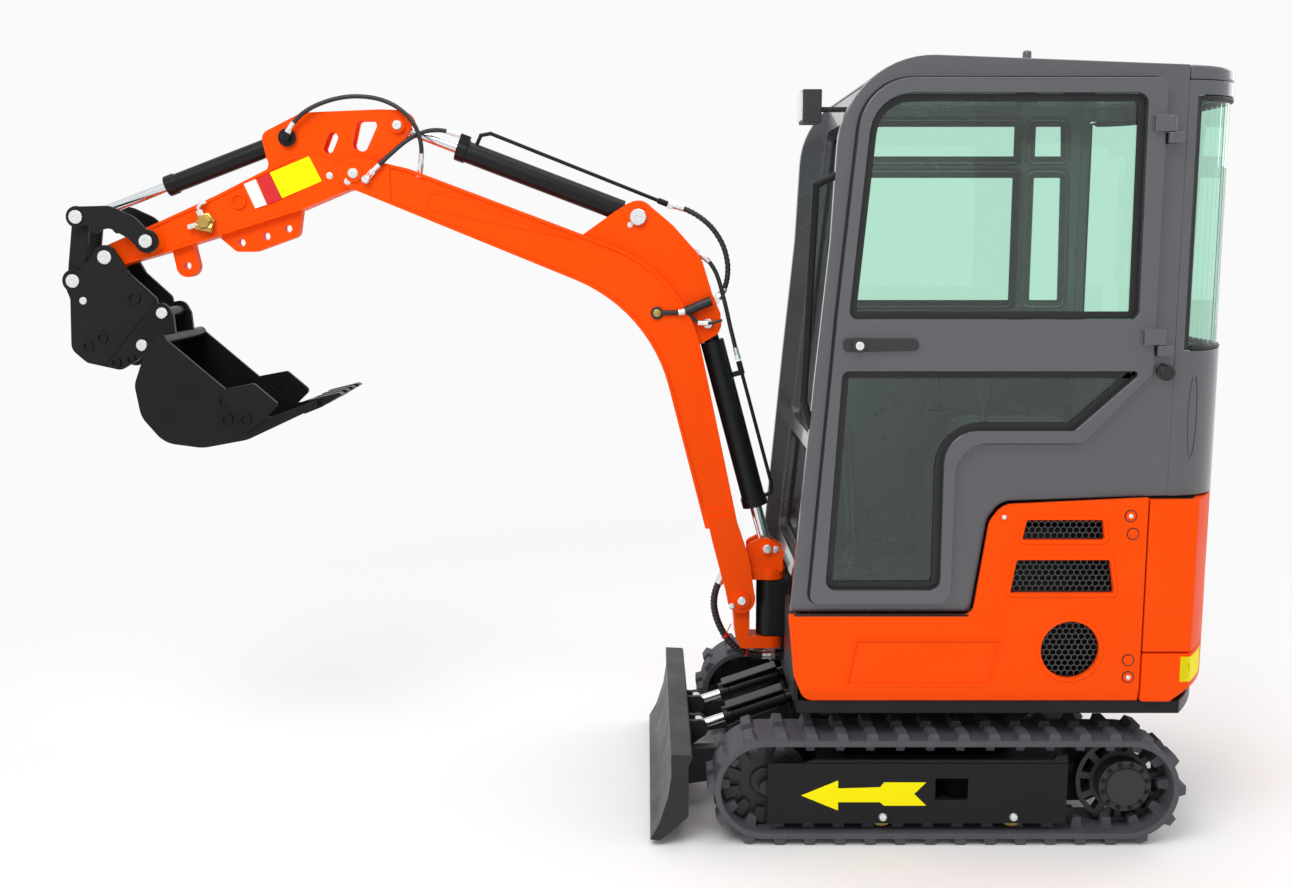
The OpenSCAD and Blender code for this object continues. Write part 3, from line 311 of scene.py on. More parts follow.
FINISH_OF_NODE = {"dozer_blade": "blade_paint", "front_cover": "black_paint"}
# rounding in mm, small where thin steps leave no room for more
EDGE_MM_OF_NODE = {
    "door_frame": 2.5, "cab_left_frame": 3.7, "cab_roof": 8, "counterweight": 8, "arm": 0.2, "boom": 0.5,
    "bucket": 0.2, "boom_cylinder_barrel": 0, "arm_cylinder_barrel": 1.6, "door_handle": 1.6,
    "right_side_cover": 1.1, "swing_post": 0.6, "undercarriage_frame": 1.1}
MADE = {}


def finish(name):
    """The material of a finish, made at its first use."""
    if name not in MADE:
        MADE[name] = tinted_glass() if name == "cab_glass" else coated(**FINISHES[name])
    return MADE[name]


# Mesh tools


def piece(name, shape, body, finish_name, smooth=40):
    """Turns a bmesh into a named piece with a finish, which rides on a body if one is named."""
    bmesh.ops.recalc_face_normals(shape, faces=shape.faces)
    mesh = bpy.data.meshes.new(name)
    for face in shape.faces:
        face.smooth = True
    for edge in shape.edges:
        edge.smooth = len(edge.link_faces) == 2 and edge.calc_face_angle(0) < math.radians(smooth)
    shape.to_mesh(mesh)
    shape.free()
    made = bpy.data.objects.new(name, mesh)
    bpy.context.scene.collection.objects.link(made)
    mesh.materials.append(finish(finish_name))
    if body:
        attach(made, body)
    return made


def strip(shape, a, b):
    """Faces between two closed rows of as many points."""
    for i in range(len(a)):
        k = (i + 1) % len(a)
        shape.faces.new((a[i], a[k], b[k], b[i]))


def loft(shape, loops):
    """Closed solid through loops of as many points."""
    rows = [[shape.verts.new(p) for p in loop] for loop in loops]
    for a, b in zip(rows, rows[1:]):
        strip(shape, a, b)
    shape.faces.new(rows[0])
    shape.faces.new(rows[-1])


def prism(shape, loop, offset):
    """Closed solid between a loop of points and the same loop moved by an offset."""
    loft(shape, [loop, [p + offset for p in loop]])


def ring(shape, outer, inner, offset):
    """Closed band between two loops of as many points, as thick as the offset."""
    rows = [[shape.verts.new(p) for p in pts] for pts in (outer, inner)]
    rows += [[shape.verts.new(p + offset) for p in pts] for pts in (inner, outer)]
    for a, b in zip(rows, rows[1:] + rows[:1]):
        strip(shape, a, b)


def turned(shape, base, axis, profile, sides=24, spin=0.0):
    """Solid turned about an axis; the profile is (radius, height) pairs in mm from the base up."""
    axis = Vector(axis).normalized()
    side = axis.orthogonal().normalized()
    other = axis.cross(side)
    base = Vector(base)
    turns = [2 * math.pi * k / sides + spin for k in range(sides)]
    spokes = [side * math.cos(t) + other * math.sin(t) for t in turns]
    loops = []
    for radius, height in profile:
        middle = base + axis * (height * MM)
        loops.append([middle + spoke * (radius * MM) for spoke in spokes])
    loft(shape, loops)


def pin_head(shape, base, axis, radius):
    """Zinc pin end of a radius in mm: chamfered disc with a grease dimple in its middle."""
    rim = [(radius, 0), (radius, 4), (radius - 2, 6)]
    dimple = [(radius * 0.3, 6.4), (radius * 0.24, 5)]
    turned(shape, base, axis, rim + dimple)


def boss(shape, base, axis, radius, height=7):
    """Round boss with a sunken middle, in mm."""
    inner = radius - min(7, radius * 0.34)
    wall = [(radius, 0), (radius, height - 1), (radius - 1, height)]
    turned(shape, base, axis, wall + [(inner, height), (inner - 1, 1)])


def hex_bolt(shape, base, axis, radius):
    """Hexagon bolt head of a radius in mm on a washer."""
    turned(shape, base, axis, [(radius * 1.5, 0), (radius * 1.5, 1.6), (radius * 1.4, 2)])
    top = Vector(base) + Vector(axis).normalized() * 1.5 * MM
    turned(shape, top, axis, [(radius, 0), (radius, radius * 0.62), (radius * 0.82, radius * 0.72)], 6)


def swept(shape, path, radius, sides=10, swell=None):
    """Closed tube of a radius in mm along a path; swell gives the share of the radius at a ring and side."""
    path = [Vector(p) for p in path]
    turns = [2 * math.pi * k / sides for k in range(sides)]
    side = None
    loops = []
    for i, point in enumerate(path):
        ahead = (path[min(i + 1, len(path) - 1)] - path[max(i - 1, 0)]).normalized()
        side = ahead.orthogonal() if side is None else side - ahead * side.dot(ahead)
        side.normalize()
        other = ahead.cross(side)
        loop = []
        for k, t in enumerate(turns):
            size = radius * MM * (swell(i, k) if swell else 1)
            loop.append(point + (side * math.cos(t) + other * math.sin(t)) * size)
        loops.append(loop)
    loft(shape, loops)


def smooth_path(points, step):
    """Even points on a Catmull-Rom curve through given points."""
    pts = [Vector(p) for p in points]
    pts = [pts[0] * 2 - pts[1], *pts, pts[-1] * 2 - pts[-2]]
    dense = []
    parts = 16
    for a, b, c, d in zip(pts, pts[1:], pts[2:], pts[3:]):
        for k in range(parts):
            t = k / parts
            bend = (2 * a - 5 * b + 4 * c - d) * t * t
            twist = (3 * b - a - 3 * c + d) * t**3
            dense.append(0.5 * (2 * b + (c - a) * t + bend + twist))
    dense.append(pts[-2])
    out = [dense[0]]
    for p in dense[1:]:
        if (p - out[-1]).length >= step:
            out.append(p)
    out[-1] = dense[-1]
    return out


def face_loops(node, normal, which):
    """Outlines of a node's flat face with this normal; which picks the highest or lowest such face."""
    normal = Vector(normal).normalized()
    shape = bmesh.new()
    shape.from_mesh(NODES[node].data)
    bmesh.ops.remove_doubles(shape, verts=shape.verts, dist=0.02 * MM)
    facing = [f for f in shape.faces if f.calc_area() > 1e-12 and f.normal.dot(normal) > 0.999]
    level = which(f.calc_center_median().dot(normal) for f in facing)
    flat = {f for f in facing if abs(f.calc_center_median().dot(normal) - level) < 0.2 * MM}
    rim = [e for e in shape.edges if len([f for f in e.link_faces if f in flat]) == 1]
    near = {}
    for edge in rim:
        for v in edge.verts:
            near.setdefault(v, []).append(edge)
    loops = []
    left = set(rim)
    while left:
        edge = left.pop()
        loop = [edge.verts[0], edge.verts[1]]
        while True:
            step = [e for e in near[loop[-1]] if e in left]
            if not step:
                break
            left.discard(step[0])
            loop.append(step[0].other_vert(loop[-1]))
        if loop[0] == loop[-1]:
            loop.pop()
        loops.append(straightened([v.co.copy() for v in loop]))
    shape.free()
    return loops


def straightened(loop):
    """Loop without the points that lie on a straight run."""
    kept = []
    for i, p in enumerate(loop):
        a, b = loop[i - 1], loop[(i + 1) % len(loop)]
        foot, _ = intersect_point_line(p, a, b)
        if (p - foot).length > 0.01 * MM:
            kept.append(p)
    return kept


def inset(loop, normal, distance):
    """Flat loop moved inwards by a distance."""
    normal = Vector(normal).normalized()
    area = sum((a.cross(b) for a, b in zip(loop, loop[1:] + loop[:1])), Vector())
    sign = 1 if area.dot(normal) > 0 else -1
    out = []
    for i, p in enumerate(loop):
        before = normal.cross((p - loop[i - 1]).normalized()) * sign
        after = normal.cross((loop[(i + 1) % len(loop)] - p).normalized()) * sign
        out.append(p + (before + after) * (distance / max(0.3, 1 + before.dot(after))))
    return out


def inside(point, loop):
    """True if a point lies in a loop, both seen along Y."""
    hit = False
    for a, b in zip(loop, loop[1:] + loop[:1]):
        if (a.z > point.z) != (b.z > point.z):
            if point.x < a.x + (b.x - a.x) * (point.z - a.z) / (b.z - a.z):
                hit = not hit
    return hit


def at(x, z, y):
    """Point in metres from side view millimetres and a distance across in millimetres."""
    return Vector((x * MM, y * MM, z * MM))


# Operators


class PieceOperator(bpy.types.Operator):
    """Base of the operators that make pieces."""

    bl_options = {"REGISTER", "UNDO"}

    def execute(self, context):
        self.make()
        return {"FINISHED"}


class EXCAVATOR_OT_stage(PieceOperator):
    """Makes the floor, the world, the lamps and the camera"""

    bl_idname = "excavator.stage"
    bl_label = "Stage"

    eye = Vector((-0.887, -4.52, 1.81))
    pitch = math.radians(8.49)
    lens_mm = 39.0
    # place and size in metres, watts
    softboxes = {
        "key_softbox": ((-2.6, -3.6, 5.2), 3.0, 150),
        "top_softbox": ((0.6, 0.4, 5.4), 3.6, 70),
        "rear_softbox": ((4.2, 2.2, 3.4), 2.6, 30),
    }
    aim = Vector((-0.6, 0, 1.0))

    def make(self):
        scene = bpy.context.scene
        scene.view_settings.view_transform = "Standard"
        self.camera(scene)
        self.floor()
        self.world(scene)
        for name, row in self.softboxes.items():
            self.lamp(name, *row)

    def camera(self, scene):
        data = bpy.data.cameras.new("photo_camera")
        data.lens = self.lens_mm
        data.sensor_width = 36
        made = bpy.data.objects.new("photo_camera", data)
        made.location = self.eye
        made.rotation_euler = (math.pi / 2 - self.pitch, 0, 0)
        scene.collection.objects.link(made)
        scene.camera = made

    def floor(self):
        shape = bmesh.new()
        bmesh.ops.create_circle(shape, cap_ends=True, segments=96, radius=14)
        mesh = bpy.data.meshes.new("studio_floor")
        shape.to_mesh(mesh)
        shape.free()
        made = bpy.data.objects.new("studio_floor", mesh)
        bpy.context.scene.collection.objects.link(made)
        made.location.z = -0.5 * MM
        mat, tree, shader = start("studio_paper_matt_white")
        spread(tree, shader, linear("#F6F6F6"), (900, 0.004), (0.8, 0.9), (8, 10))
        put(tree, shader, Specular_IOR_Level=0.1)
        place = add(tree, "ShaderNodeTexCoord").outputs["Object"]
        reach = add(tree, "ShaderNodeVectorMath", {"operation": "LENGTH"}, Vector=place)
        fade = add(
            tree, "ShaderNodeMapRange", {"interpolation_type": "SMOOTHSTEP"}, Value=reach.outputs["Value"],
            From_Min=2.2, From_Max=5.5, To_Min=0.0, To_Max=1.0,
        )
        seen = add(
            tree, "ShaderNodeMath", {"operation": "MULTIPLY"}, i0=fade.outputs[0], i1=self.sight_rays(tree)
        )
        paper = add(tree, "ShaderNodeEmission", Color=opaque("#FAFAFA"), Strength=1.0)
        both = add(
            tree, "ShaderNodeMixShader", i0=seen.outputs[0], i1=shader.outputs[0], i2=paper.outputs[0]
        )
        tree.links.new(both.outputs[0], tree.nodes["Material Output"].inputs["Surface"])
        mesh.materials.append(mat)

    def sight_rays(self, tree):
        """1 for rays from the camera, off gloss or through glass, which all see the white paper."""
        path = add(tree, "ShaderNodeLightPath").outputs
        seen = path["Is Camera Ray"]
        for kind in ("Is Glossy Ray", "Is Transmission Ray"):
            seen = add(tree, "ShaderNodeMath", {"operation": "MAXIMUM"}, i0=seen, i1=path[kind]).outputs[0]
        return seen

    def world(self, scene):
        world = bpy.data.worlds.new("studio_white")
        world.use_nodes = True
        tree = world.node_tree
        way = add(tree, "ShaderNodeTexCoord").outputs["Generated"]
        height = add(tree, "ShaderNodeSeparateXYZ", Vector=way).outputs["Z"]
        rise = add(
            tree, "ShaderNodeMapRange", Value=height, From_Min=-0.1, From_Max=0.8, To_Min=0.46, To_Max=0.86
        )
        lit = add(tree, "ShaderNodeBackground", Color=opaque("#FFFFFF"), Strength=rise.outputs["Result"])
        paper = add(tree, "ShaderNodeBackground", Color=opaque("#FAFAFA"), Strength=1.0)
        both = add(
            tree, "ShaderNodeMixShader", i0=self.sight_rays(tree), i1=lit.outputs[0], i2=paper.outputs[0]
        )
        tree.links.new(both.outputs[0], tree.nodes["World Output"].inputs["Surface"])
        scene.world = world

    def lamp(self, name, place, size, watts):
        data = bpy.data.lights.new(name, "AREA")
        data.size = size
        data.energy = watts
        made = bpy.data.objects.new(name, data)
        made.location = place
        made.rotation_euler = (self.aim - Vector(place)).to_track_quat("-Z", "Y").to_euler()
        bpy.context.scene.collection.objects.link(made)


class EXCAVATOR_OT_finish_nodes(PieceOperator):
    """Paints the solid parts and rounds their plate edges"""

    bl_idname = "excavator.finish_nodes"
    bl_label = "Paint and edges"

    def make(self):
        slots = {row["node"]: row["material_slot"] for row in frame["record"]["subparts"]}
        rounding = self.smooth_by_angle()
        for name, made in NODES.items():
            mat = finish(FINISH_OF_NODE.get(name, slots[name]))
            made.data.materials.clear()
            made.data.materials.append(mat)
            if slots[name] == "cab_glass":
                continue
            weld = made.modifiers.new("weld", "WELD")
            weld.merge_threshold = 0.02 * MM
            flat = made.modifiers.new("flat", "DECIMATE")
            flat.decimate_type = "DISSOLVE"
            flat.angle_limit = math.radians(0.4)
            width = EDGE_MM_OF_NODE[name] * MM if name in EDGE_MM_OF_NODE else detail().edge
            if width:
                self.round_edges(made, width)
            angle = made.modifiers.new("smooth", "NODES")
            angle.node_group = rounding
            weights = made.modifiers.new("weights", "WEIGHTED_NORMAL")
            weights.keep_sharp = True

    def round_edges(self, made, width):
        bevel = made.modifiers.new("edges", "BEVEL")
        bevel.width = width
        bevel.segments = 2
        bevel.limit_method = "ANGLE"
        bevel.angle_limit = math.radians(50)
        bevel.use_clamp_overlap = False

    def smooth_by_angle(self):
        """Node group that smooths all edges flatter than 58 degrees."""
        group = bpy.data.node_groups.new("smooth_by_angle", "GeometryNodeTree")
        group.interface.new_socket("Geometry", in_out="INPUT", socket_type="NodeSocketGeometry")
        group.interface.new_socket("Geometry", in_out="OUTPUT", socket_type="NodeSocketGeometry")
        came = add(group, "NodeGroupInput")
        angle = add(group, "GeometryNodeInputMeshEdgeAngle")
        most = math.radians(58)
        flat = add(group, "FunctionNodeCompare", {"operation": "LESS_THAN"}, i0=angle.outputs[0], i1=most)
        faces = add(group, "GeometryNodeSetShadeSmooth", {"domain": "FACE"}, Geometry=came.outputs[0])
        edges = add(
            group, "GeometryNodeSetShadeSmooth", {"domain": "EDGE"}, Geometry=faces.outputs[0],
            Shade_Smooth=flat.outputs[0],
        )
        add(group, "NodeGroupOutput", Geometry=edges.outputs[0])
        return group


class EXCAVATOR_OT_window_seals(PieceOperator):
    """Lays rubber seals round the panes"""

    bl_idname = "excavator.window_seals"
    bl_label = "Window seals"

    lean = math.atan(0.1055)

    def make(self):
        ahead = Vector((-math.cos(self.lean), 0, math.sin(self.lean)))
        self.seal("door_window_seals", "door_windows", LEFT, 8, "cab_door")
        self.seal("right_window_seals", "right_windows", RIGHT, 12, "house")
        self.seal("windscreen_seals", "windscreen", ahead, 15, "house")

    def seal(self, name, node, normal, lap_mm, body):
        shape = bmesh.new()
        for loop in face_loops(node, normal, max):
            ring(
                shape,
                inset(loop, normal, (lap_mm + 0.5) * MM),
                inset(loop, normal, lap_mm * MM + detail().seal),
                Vector(normal) * 6 * MM,
            )
        piece(name, shape, body, "seal")


class EXCAVATOR_OT_vent_meshes(PieceOperator):
    """Fills the vents of the left cover with pressed honeycomb mesh"""

    bl_idname = "excavator.vent_meshes"
    bl_label = "Vent meshes"

    lap = 6 * MM
    depth = 4 * MM

    def make(self):
        loops = face_loops("left_side_cover", RIGHT, max)
        outline = max(loops, key=lambda loop: max(p.x for p in loop) - min(p.x for p in loop))
        shape = bmesh.new()
        for loop in loops:
            if loop is not outline:
                self.honeycomb(shape, inset(loop, RIGHT, -self.lap))
        piece("vent_meshes", shape, "house", "mesh_coat", 20)

    def honeycomb(self, shape, loop):
        pitch = detail().mesh_pitch
        outer = pitch / math.sqrt(3)
        inner = outer - detail().mesh_wire / math.sqrt(3)
        spokes = [Vector((math.cos(t), 0, math.sin(t))) for t in HEX_TURNS]
        low = Vector((min(p.x for p in loop), loop[0].y, min(p.z for p in loop)))
        high = Vector((max(p.x for p in loop), loop[0].y, max(p.z for p in loop)))
        row_step = outer * 1.5
        for row in range(int((high.z - low.z) / row_step) + 2):
            for column in range(int((high.x - low.x) / pitch) + 2):
                centre = low + Vector(((column + 0.5 * (row % 2)) * pitch, 0, row * row_step))
                if inside(centre, loop):
                    rims = [[centre + spoke * r for spoke in spokes] for r in (outer, inner)]
                    ring(shape, *rims, RIGHT * self.depth)


class EXCAVATOR_OT_hoses(PieceOperator):
    """Runs the hydraulic hoses from fitting to fitting and bends them over their joints"""

    bl_idname = "excavator.hoses"
    bl_label = "Hoses"

    # name: radius, wrap pitch and wrap depth in mm, body at the start, body at the end, route in metres
    runs = {
        "bucket_hose": (7, 3.2, 0.03, "arm", "boom", [
        (-2.005, -0.060, 2.126), (-1.994, -0.060, 2.144), (-1.978, -0.060, 2.164), (-1.956, -0.060, 2.184),
        (-1.928, -0.058, 2.202), (-1.894, -0.057, 2.217), (-1.854, -0.056, 2.229), (-1.810, -0.055, 2.236),
        (-1.766, -0.054, 2.236), (-1.724, -0.053, 2.230), (-1.684, -0.055, 2.216), (-1.648, -0.060, 2.194),
        (-1.618, -0.063, 2.164), (-1.598, -0.064, 2.128), (-1.589, -0.062, 2.088), (-1.590, -0.056, 2.048),
        (-1.596, -0.050, 2.010)]),
        "arm_hose": (7, 3.2, 0.03, "boom", "arm_barrel", [
        (-1.746, -0.074, 2.000), (-1.730, -0.074, 2.016), (-1.712, -0.073, 2.033), (-1.694, -0.072, 2.050),
        (-1.676, -0.070, 2.066), (-1.658, -0.067, 2.082), (-1.640, -0.062, 2.097), (-1.620, -0.054, 2.111),
        (-1.598, -0.046, 2.123), (-1.576, -0.040, 2.131), (-1.553, -0.035, 2.135), (-1.530, -0.031, 2.135),
        (-1.508, -0.028, 2.131), (-1.490, -0.026, 2.125), (-1.473, -0.025, 2.119)]),
        "boom_hose": (9, 9.0, 0.16, "arm_barrel", "boom", [
        (-0.816, 0, 1.907), (-0.786, 0, 1.900), (-0.756, 0, 1.889), (-0.727, 0, 1.874), (-0.700, 0, 1.855),
        (-0.676, 0, 1.832), (-0.656, 0, 1.805), (-0.640, 0, 1.775), (-0.630, 0, 1.743), (-0.625, 0, 1.710),
        (-0.626, 0, 1.678), (-0.632, 0, 1.650), (-0.642, 0, 1.628), (-0.656, 0, 1.611)]),
        "lift_hose": (7, 3.2, 0.03, "boom", "boom_barrel", [
        (-0.718, -0.017, 1.748), (-0.700, -0.017, 1.738), (-0.686, -0.017, 1.726), (-0.674, -0.017, 1.710),
        (-0.664, -0.017, 1.692), (-0.656, -0.017, 1.672), (-0.649, -0.017, 1.650), (-0.642, -0.017, 1.624),
        (-0.635, -0.017, 1.598), (-0.628, -0.016, 1.570), (-0.621, -0.014, 1.540), (-0.614, -0.011, 1.510),
        (-0.606, -0.007, 1.480), (-0.599, -0.004, 1.452), (-0.593, -0.001, 1.430), (-0.589, 0, 1.412)]),
        "foot_hose": (12, 10.0, 0.14, "swing_post", "house", [
        (-0.629, 0, 0.701), (-0.640, 0, 0.682), (-0.650, 0, 0.662), (-0.657, 0, 0.640), (-0.661, 0, 0.616),
        (-0.661, 0, 0.592), (-0.657, 0, 0.568), (-0.650, 0, 0.544), (-0.640, 0, 0.520), (-0.627, 0, 0.496),
        (-0.611, 0, 0.473), (-0.591, 0, 0.452), (-0.567, 0, 0.437), (-0.540, 0, 0.428), (-0.511, 0, 0.424),
        (-0.483, 0, 0.424), (-0.457, 0, 0.425)]),
    }
    step = 2.5 * MM
    held = 14
    sides = 16
    # share of the foot hose's length, and the tail of the tie there in metres
    tie_spots = ((0.57, Vector((0.02, -0.012, 0.045))), (0.78, Vector((0.006, -0.012, 0.04))))
    tie_r = 13.4

    def make(self):
        ends = {}
        for name, (radius, pitch, depth, first, last, route) in self.runs.items():
            path = smooth_path(route, self.step)
            self.hose(name, path, radius, pitch * MM, depth, first, last)
            ends.setdefault(first, []).append((path[: self.held], radius))
            ends.setdefault(last, []).append((path[: -self.held - 1 : -1], radius))
        for body, runs in ends.items():
            shape = bmesh.new()
            for path, radius in runs:
                swept(shape, path, radius * 1.22, 20, lambda i, k: 0.96 if i % 4 == 0 else 1)
                swept(shape, path[:5], radius * 1.5, 6)
            piece("hose_ferrules_" + body, shape, body, "pin_zinc")
        self.ties()

    def hose(self, name, path, radius, pitch, depth, first, last):
        def wrap(i, k):
            turn = 2 * math.pi * (i * self.step / pitch - k / self.sides)
            return 1 - depth * (0.5 + 0.5 * math.cos(turn)) ** 2

        shape = bmesh.new()
        swept(shape, path, radius, self.sides, wrap)
        made = piece(name + "_cover", shape, None, "hose_rubber", 60)
        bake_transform(made)
        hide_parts(name)

    def ties(self):
        """Two red cable ties with their tails round the bundle at the boom foot."""
        path = smooth_path(self.runs["foot_hose"][5], self.step)
        shape = bmesh.new()
        for place, tail in self.tie_spots:
            i = int(place * len(path))
            swept(shape, path[i : i + 3], self.tie_r, 20)
            root = path[i] + LEFT * 13 * MM
            swept(shape, [root, root + tail * 0.5 + LEFT * 3 * MM, root + tail], 1.6, 8)
        made = piece("hose_ties", shape, None, "film_red")
        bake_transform(made)


class EXCAVATOR_OT_pins(PieceOperator):
    """Adds the zinc pin ends, their keeper bolts and the zinc sleeves of the hose fittings"""

    bl_idname = "excavator.pins"
    bl_label = "Pins and fittings"

    # body: (x, z, distance across, radius) in mm, the same on both sides
    ends = {
        "arm": [(-1803, 2001, 70, 16), (-1665, 2150, 48, 15)],
        "boom": [(-574, 629, 78, 14), (-912, 1866, 50, 26), (-690, 1531, 50, 16)],
        "swing_post": [(-491, 796, 50, 15)],
        "rocker": [(-2450, 1791, 103, 21), (-2664, 1866, 103, 21)],
        "bucket": [
            (-2588, 1741, 85, 22), (-2692, 1667, 85, 21), (-2479, 1466, 101, 18), (-2411, 1567, 101, 18)],
        "undercarriage": [(-360, 170, 262, 22)],
    }
    # body: (x, z, distance across, radius) of keeper bolts in mm
    keepers = {
        "boom": [(-606, 609, 70, 7), (-1822, 1976, 62, 7), (-937, 1842, 42, 6)],
        "arm": [(-1882, 1994, 42, 7)],
        "swing_post": [(-463, 793, 44, 8)],
    }
    # hose fittings: (x, z, distance across) in mm
    elbow = (-1762, 1982, -56)
    elbow_neck = [(-1764, 1980, -74), (-1746, 2000, -74)]
    upright_neck = [(-1597, 1990, -50), (-1597, 2011.5, -50)]
    through_sleeves = [(-664, 1603, -30.5), (-728, 1754, -30.5)]
    collar = (-2010, 2112, -48)
    collar_neck = (-2010, 2112, -52)

    def make(self):
        for body, spots in self.ends.items():
            shape = bmesh.new()
            for side in SIDES:
                for x, z, across, radius in spots:
                    pin_head(shape, at(x, z, across * side.y), side, radius)
                for x, z, across, radius in self.keepers.get(body, []):
                    hex_bolt(shape, at(x, z, across * side.y), side, radius)
            piece("pin_ends_" + body, shape, body, "pin_zinc", 30)
        self.sleeves()

    def sleeves(self):
        shape = bmesh.new()
        turned(shape, at(*self.elbow), LEFT, [(13, 0), (13, 28), (10, 31)])
        swept(shape, [at(*spot) for spot in self.elbow_neck], 10, 6)
        swept(shape, [at(*spot) for spot in self.upright_neck], 11, 6)
        for spot in self.through_sleeves:
            turned(shape, at(*spot), RIGHT, [(12.6, 0), (12.6, 61)], 20)
        piece("fitting_sleeves_boom", shape, "boom", "pin_zinc", 30)
        shape = bmesh.new()
        turned(shape, at(*self.collar), LEFT, [(28, 0), (28, 3), (25, 5)])
        turned(shape, at(*self.collar_neck), LEFT, [(13, 0), (13, 17), (10, 20)])
        piece("fitting_collar_arm", shape, "arm", "black_paint", 30)


class EXCAVATOR_OT_bosses(PieceOperator):
    """Adds the round bosses, cover plates and strengthening steps of the welded plates"""

    bl_idname = "excavator.bosses"
    bl_label = "Bosses and plates"

    # (x, z, distance across, radius) in mm, the same on both sides
    hitch_rings = [
        (-2503, 1614, 83.5, 21), (-2610, 1488, 83.5, 18), (-2656, 1460, 83.5, 18), (-2571, 1409, 80.8, 16),
        (-2523, 1419, 80.8, 15)]
    lock_pin = (-2663, 1605, 83.5, 12)
    bucket_rings = [(-2198, 1299, 200, 19), (-2191, 1243, 200, 19), (-2130, 1243, 211.5, 19)]
    arm_ring = (-2173, 1916, 37.5, 25)
    # outlines in the side view, (x, z) in mm
    hitch_step = [
        (-2714, 1652), (-2700, 1610), (-2705, 1455), (-2662, 1414), (-2607, 1399), (-2436, 1606),
        (-2512, 1682), (-2543, 1740), (-2598, 1768), (-2655, 1710)]
    boom_swage = [(-1570, 1950), (-1439, 1928), (-1421, 1909), (-1158, 1816), (-1111, 1794), (-1581, 1891)]
    hitch_face = 80.5
    boom_face = 55.8
    # distance across, then (x, z) places along a run, in mm
    strap = -60, [(-840, 1565), (-776, 1567)]
    guard = -58, [(-762, 1570), (-680, 1604)]
    tail = -62, [(-756, 1568), (-736, 1546), (-707, 1532), (-676, 1534), (-645, 1543)]
    strap_clamp = -61, [(-784, 1566.5), (-764, 1569)]
    tail_clamp = -62, [(-722, 1534), (-690, 1533)]
    valve_body = -54, [(-2302, 1842), (-2252, 1832)]
    valve_neck = -54, [(-2285, 1865), (-2294, 1886)]
    valve_elbow = -54, [(-2292, 1882), (-2296, 1894), (-2288, 1906), (-2270, 1913)]
    valve_outlet = -54, [(-2300, 1842), (-2330, 1834)]
    bend_step = 3 * MM
    # places as (x, z, distance across) in mm
    strap_eye = (-852, 1565, -55)
    strap_bolt = (-852, 1565, -63.5)
    valve = (-2277, 1851, -37)

    def make(self):
        self.hitch()
        self.bucket()
        self.arm()
        self.boom()

    def run(self, y, spots):
        return [at(x, z, y) for x, z in spots]

    def hitch(self):
        shape = bmesh.new()
        pins = bmesh.new()
        for side in SIDES:
            prism(shape, self.run(self.hitch_face * side.y, self.hitch_step), side * 3.5 * MM)
            for x, z, across, radius in self.hitch_rings:
                boss(shape, at(x, z, across * side.y), side, radius)
            x, z, across, radius = self.lock_pin
            pin_head(pins, at(x, z, across * side.y), side, radius)
        piece("hitch_plates", shape, "bucket", "black_paint", 30)
        piece("hitch_lock_pins", pins, "bucket", "pin_zinc", 30)

    def bucket(self):
        shape = bmesh.new()
        for side in SIDES:
            for x, z, across, radius in self.bucket_rings:
                boss(shape, at(x, z, across * side.y), side, radius)
        piece("bucket_cutter_bolts", shape, "bucket", "bucket_paint", 30)

    def arm(self):
        shape = bmesh.new()
        x, z, across, radius = self.arm_ring
        for side in SIDES:
            boss(shape, at(x, z, across * side.y), side, radius, 8)
        piece("arm_bosses", shape, "arm", "body_paint", 30)
        shape = bmesh.new()
        turned(shape, at(*self.valve), LEFT, [(30, 0), (30, 14), (24, 17), (24, 34), (20, 38)], 6, 0.4)
        swept(shape, self.run(*self.valve_body), 19, 8)
        piece("arm_valve", shape, "arm", "fitting_brass", 30)
        shape = bmesh.new()
        swept(shape, self.run(*self.valve_neck), 11, 6)
        swept(shape, smooth_path(self.run(*self.valve_elbow), self.bend_step), 6, 12)
        swept(shape, self.run(*self.valve_outlet), 9, 6)
        piece("arm_valve_nipples", shape, "arm", "pin_zinc", 30)

    def boom(self):
        shape = bmesh.new()
        for side in SIDES:
            loop = self.run(self.boom_face * side.y, self.boom_swage)
            ring(shape, loop, inset(loop, RIGHT, 7 * MM), side * 2.4 * MM)
        piece("boom_swages", shape, "boom", "body_paint", 30)
        shape = bmesh.new()
        turned(shape, at(*self.strap_eye), LEFT, [(20, 0), (20, 7), (17, 9)])
        swept(shape, self.run(*self.strap), 8, 12)
        swept(shape, self.run(*self.guard), 15, 20)
        swept(shape, smooth_path(self.run(*self.tail), self.bend_step), 5, 12)
        piece("boom_hose_straps", shape, "boom", "hose_rubber", 30)
        shape = bmesh.new()
        hex_bolt(shape, at(*self.strap_bolt), LEFT, 8)
        piece("boom_strap_bolt", shape, "boom", "fitting_brass", 30)
        shape = bmesh.new()
        swept(shape, self.run(*self.strap_clamp), 11, 12)
        swept(shape, self.run(*self.tail_clamp), 9, 12)
        piece("boom_strap_clamps", shape, "boom", "pin_zinc", 30)


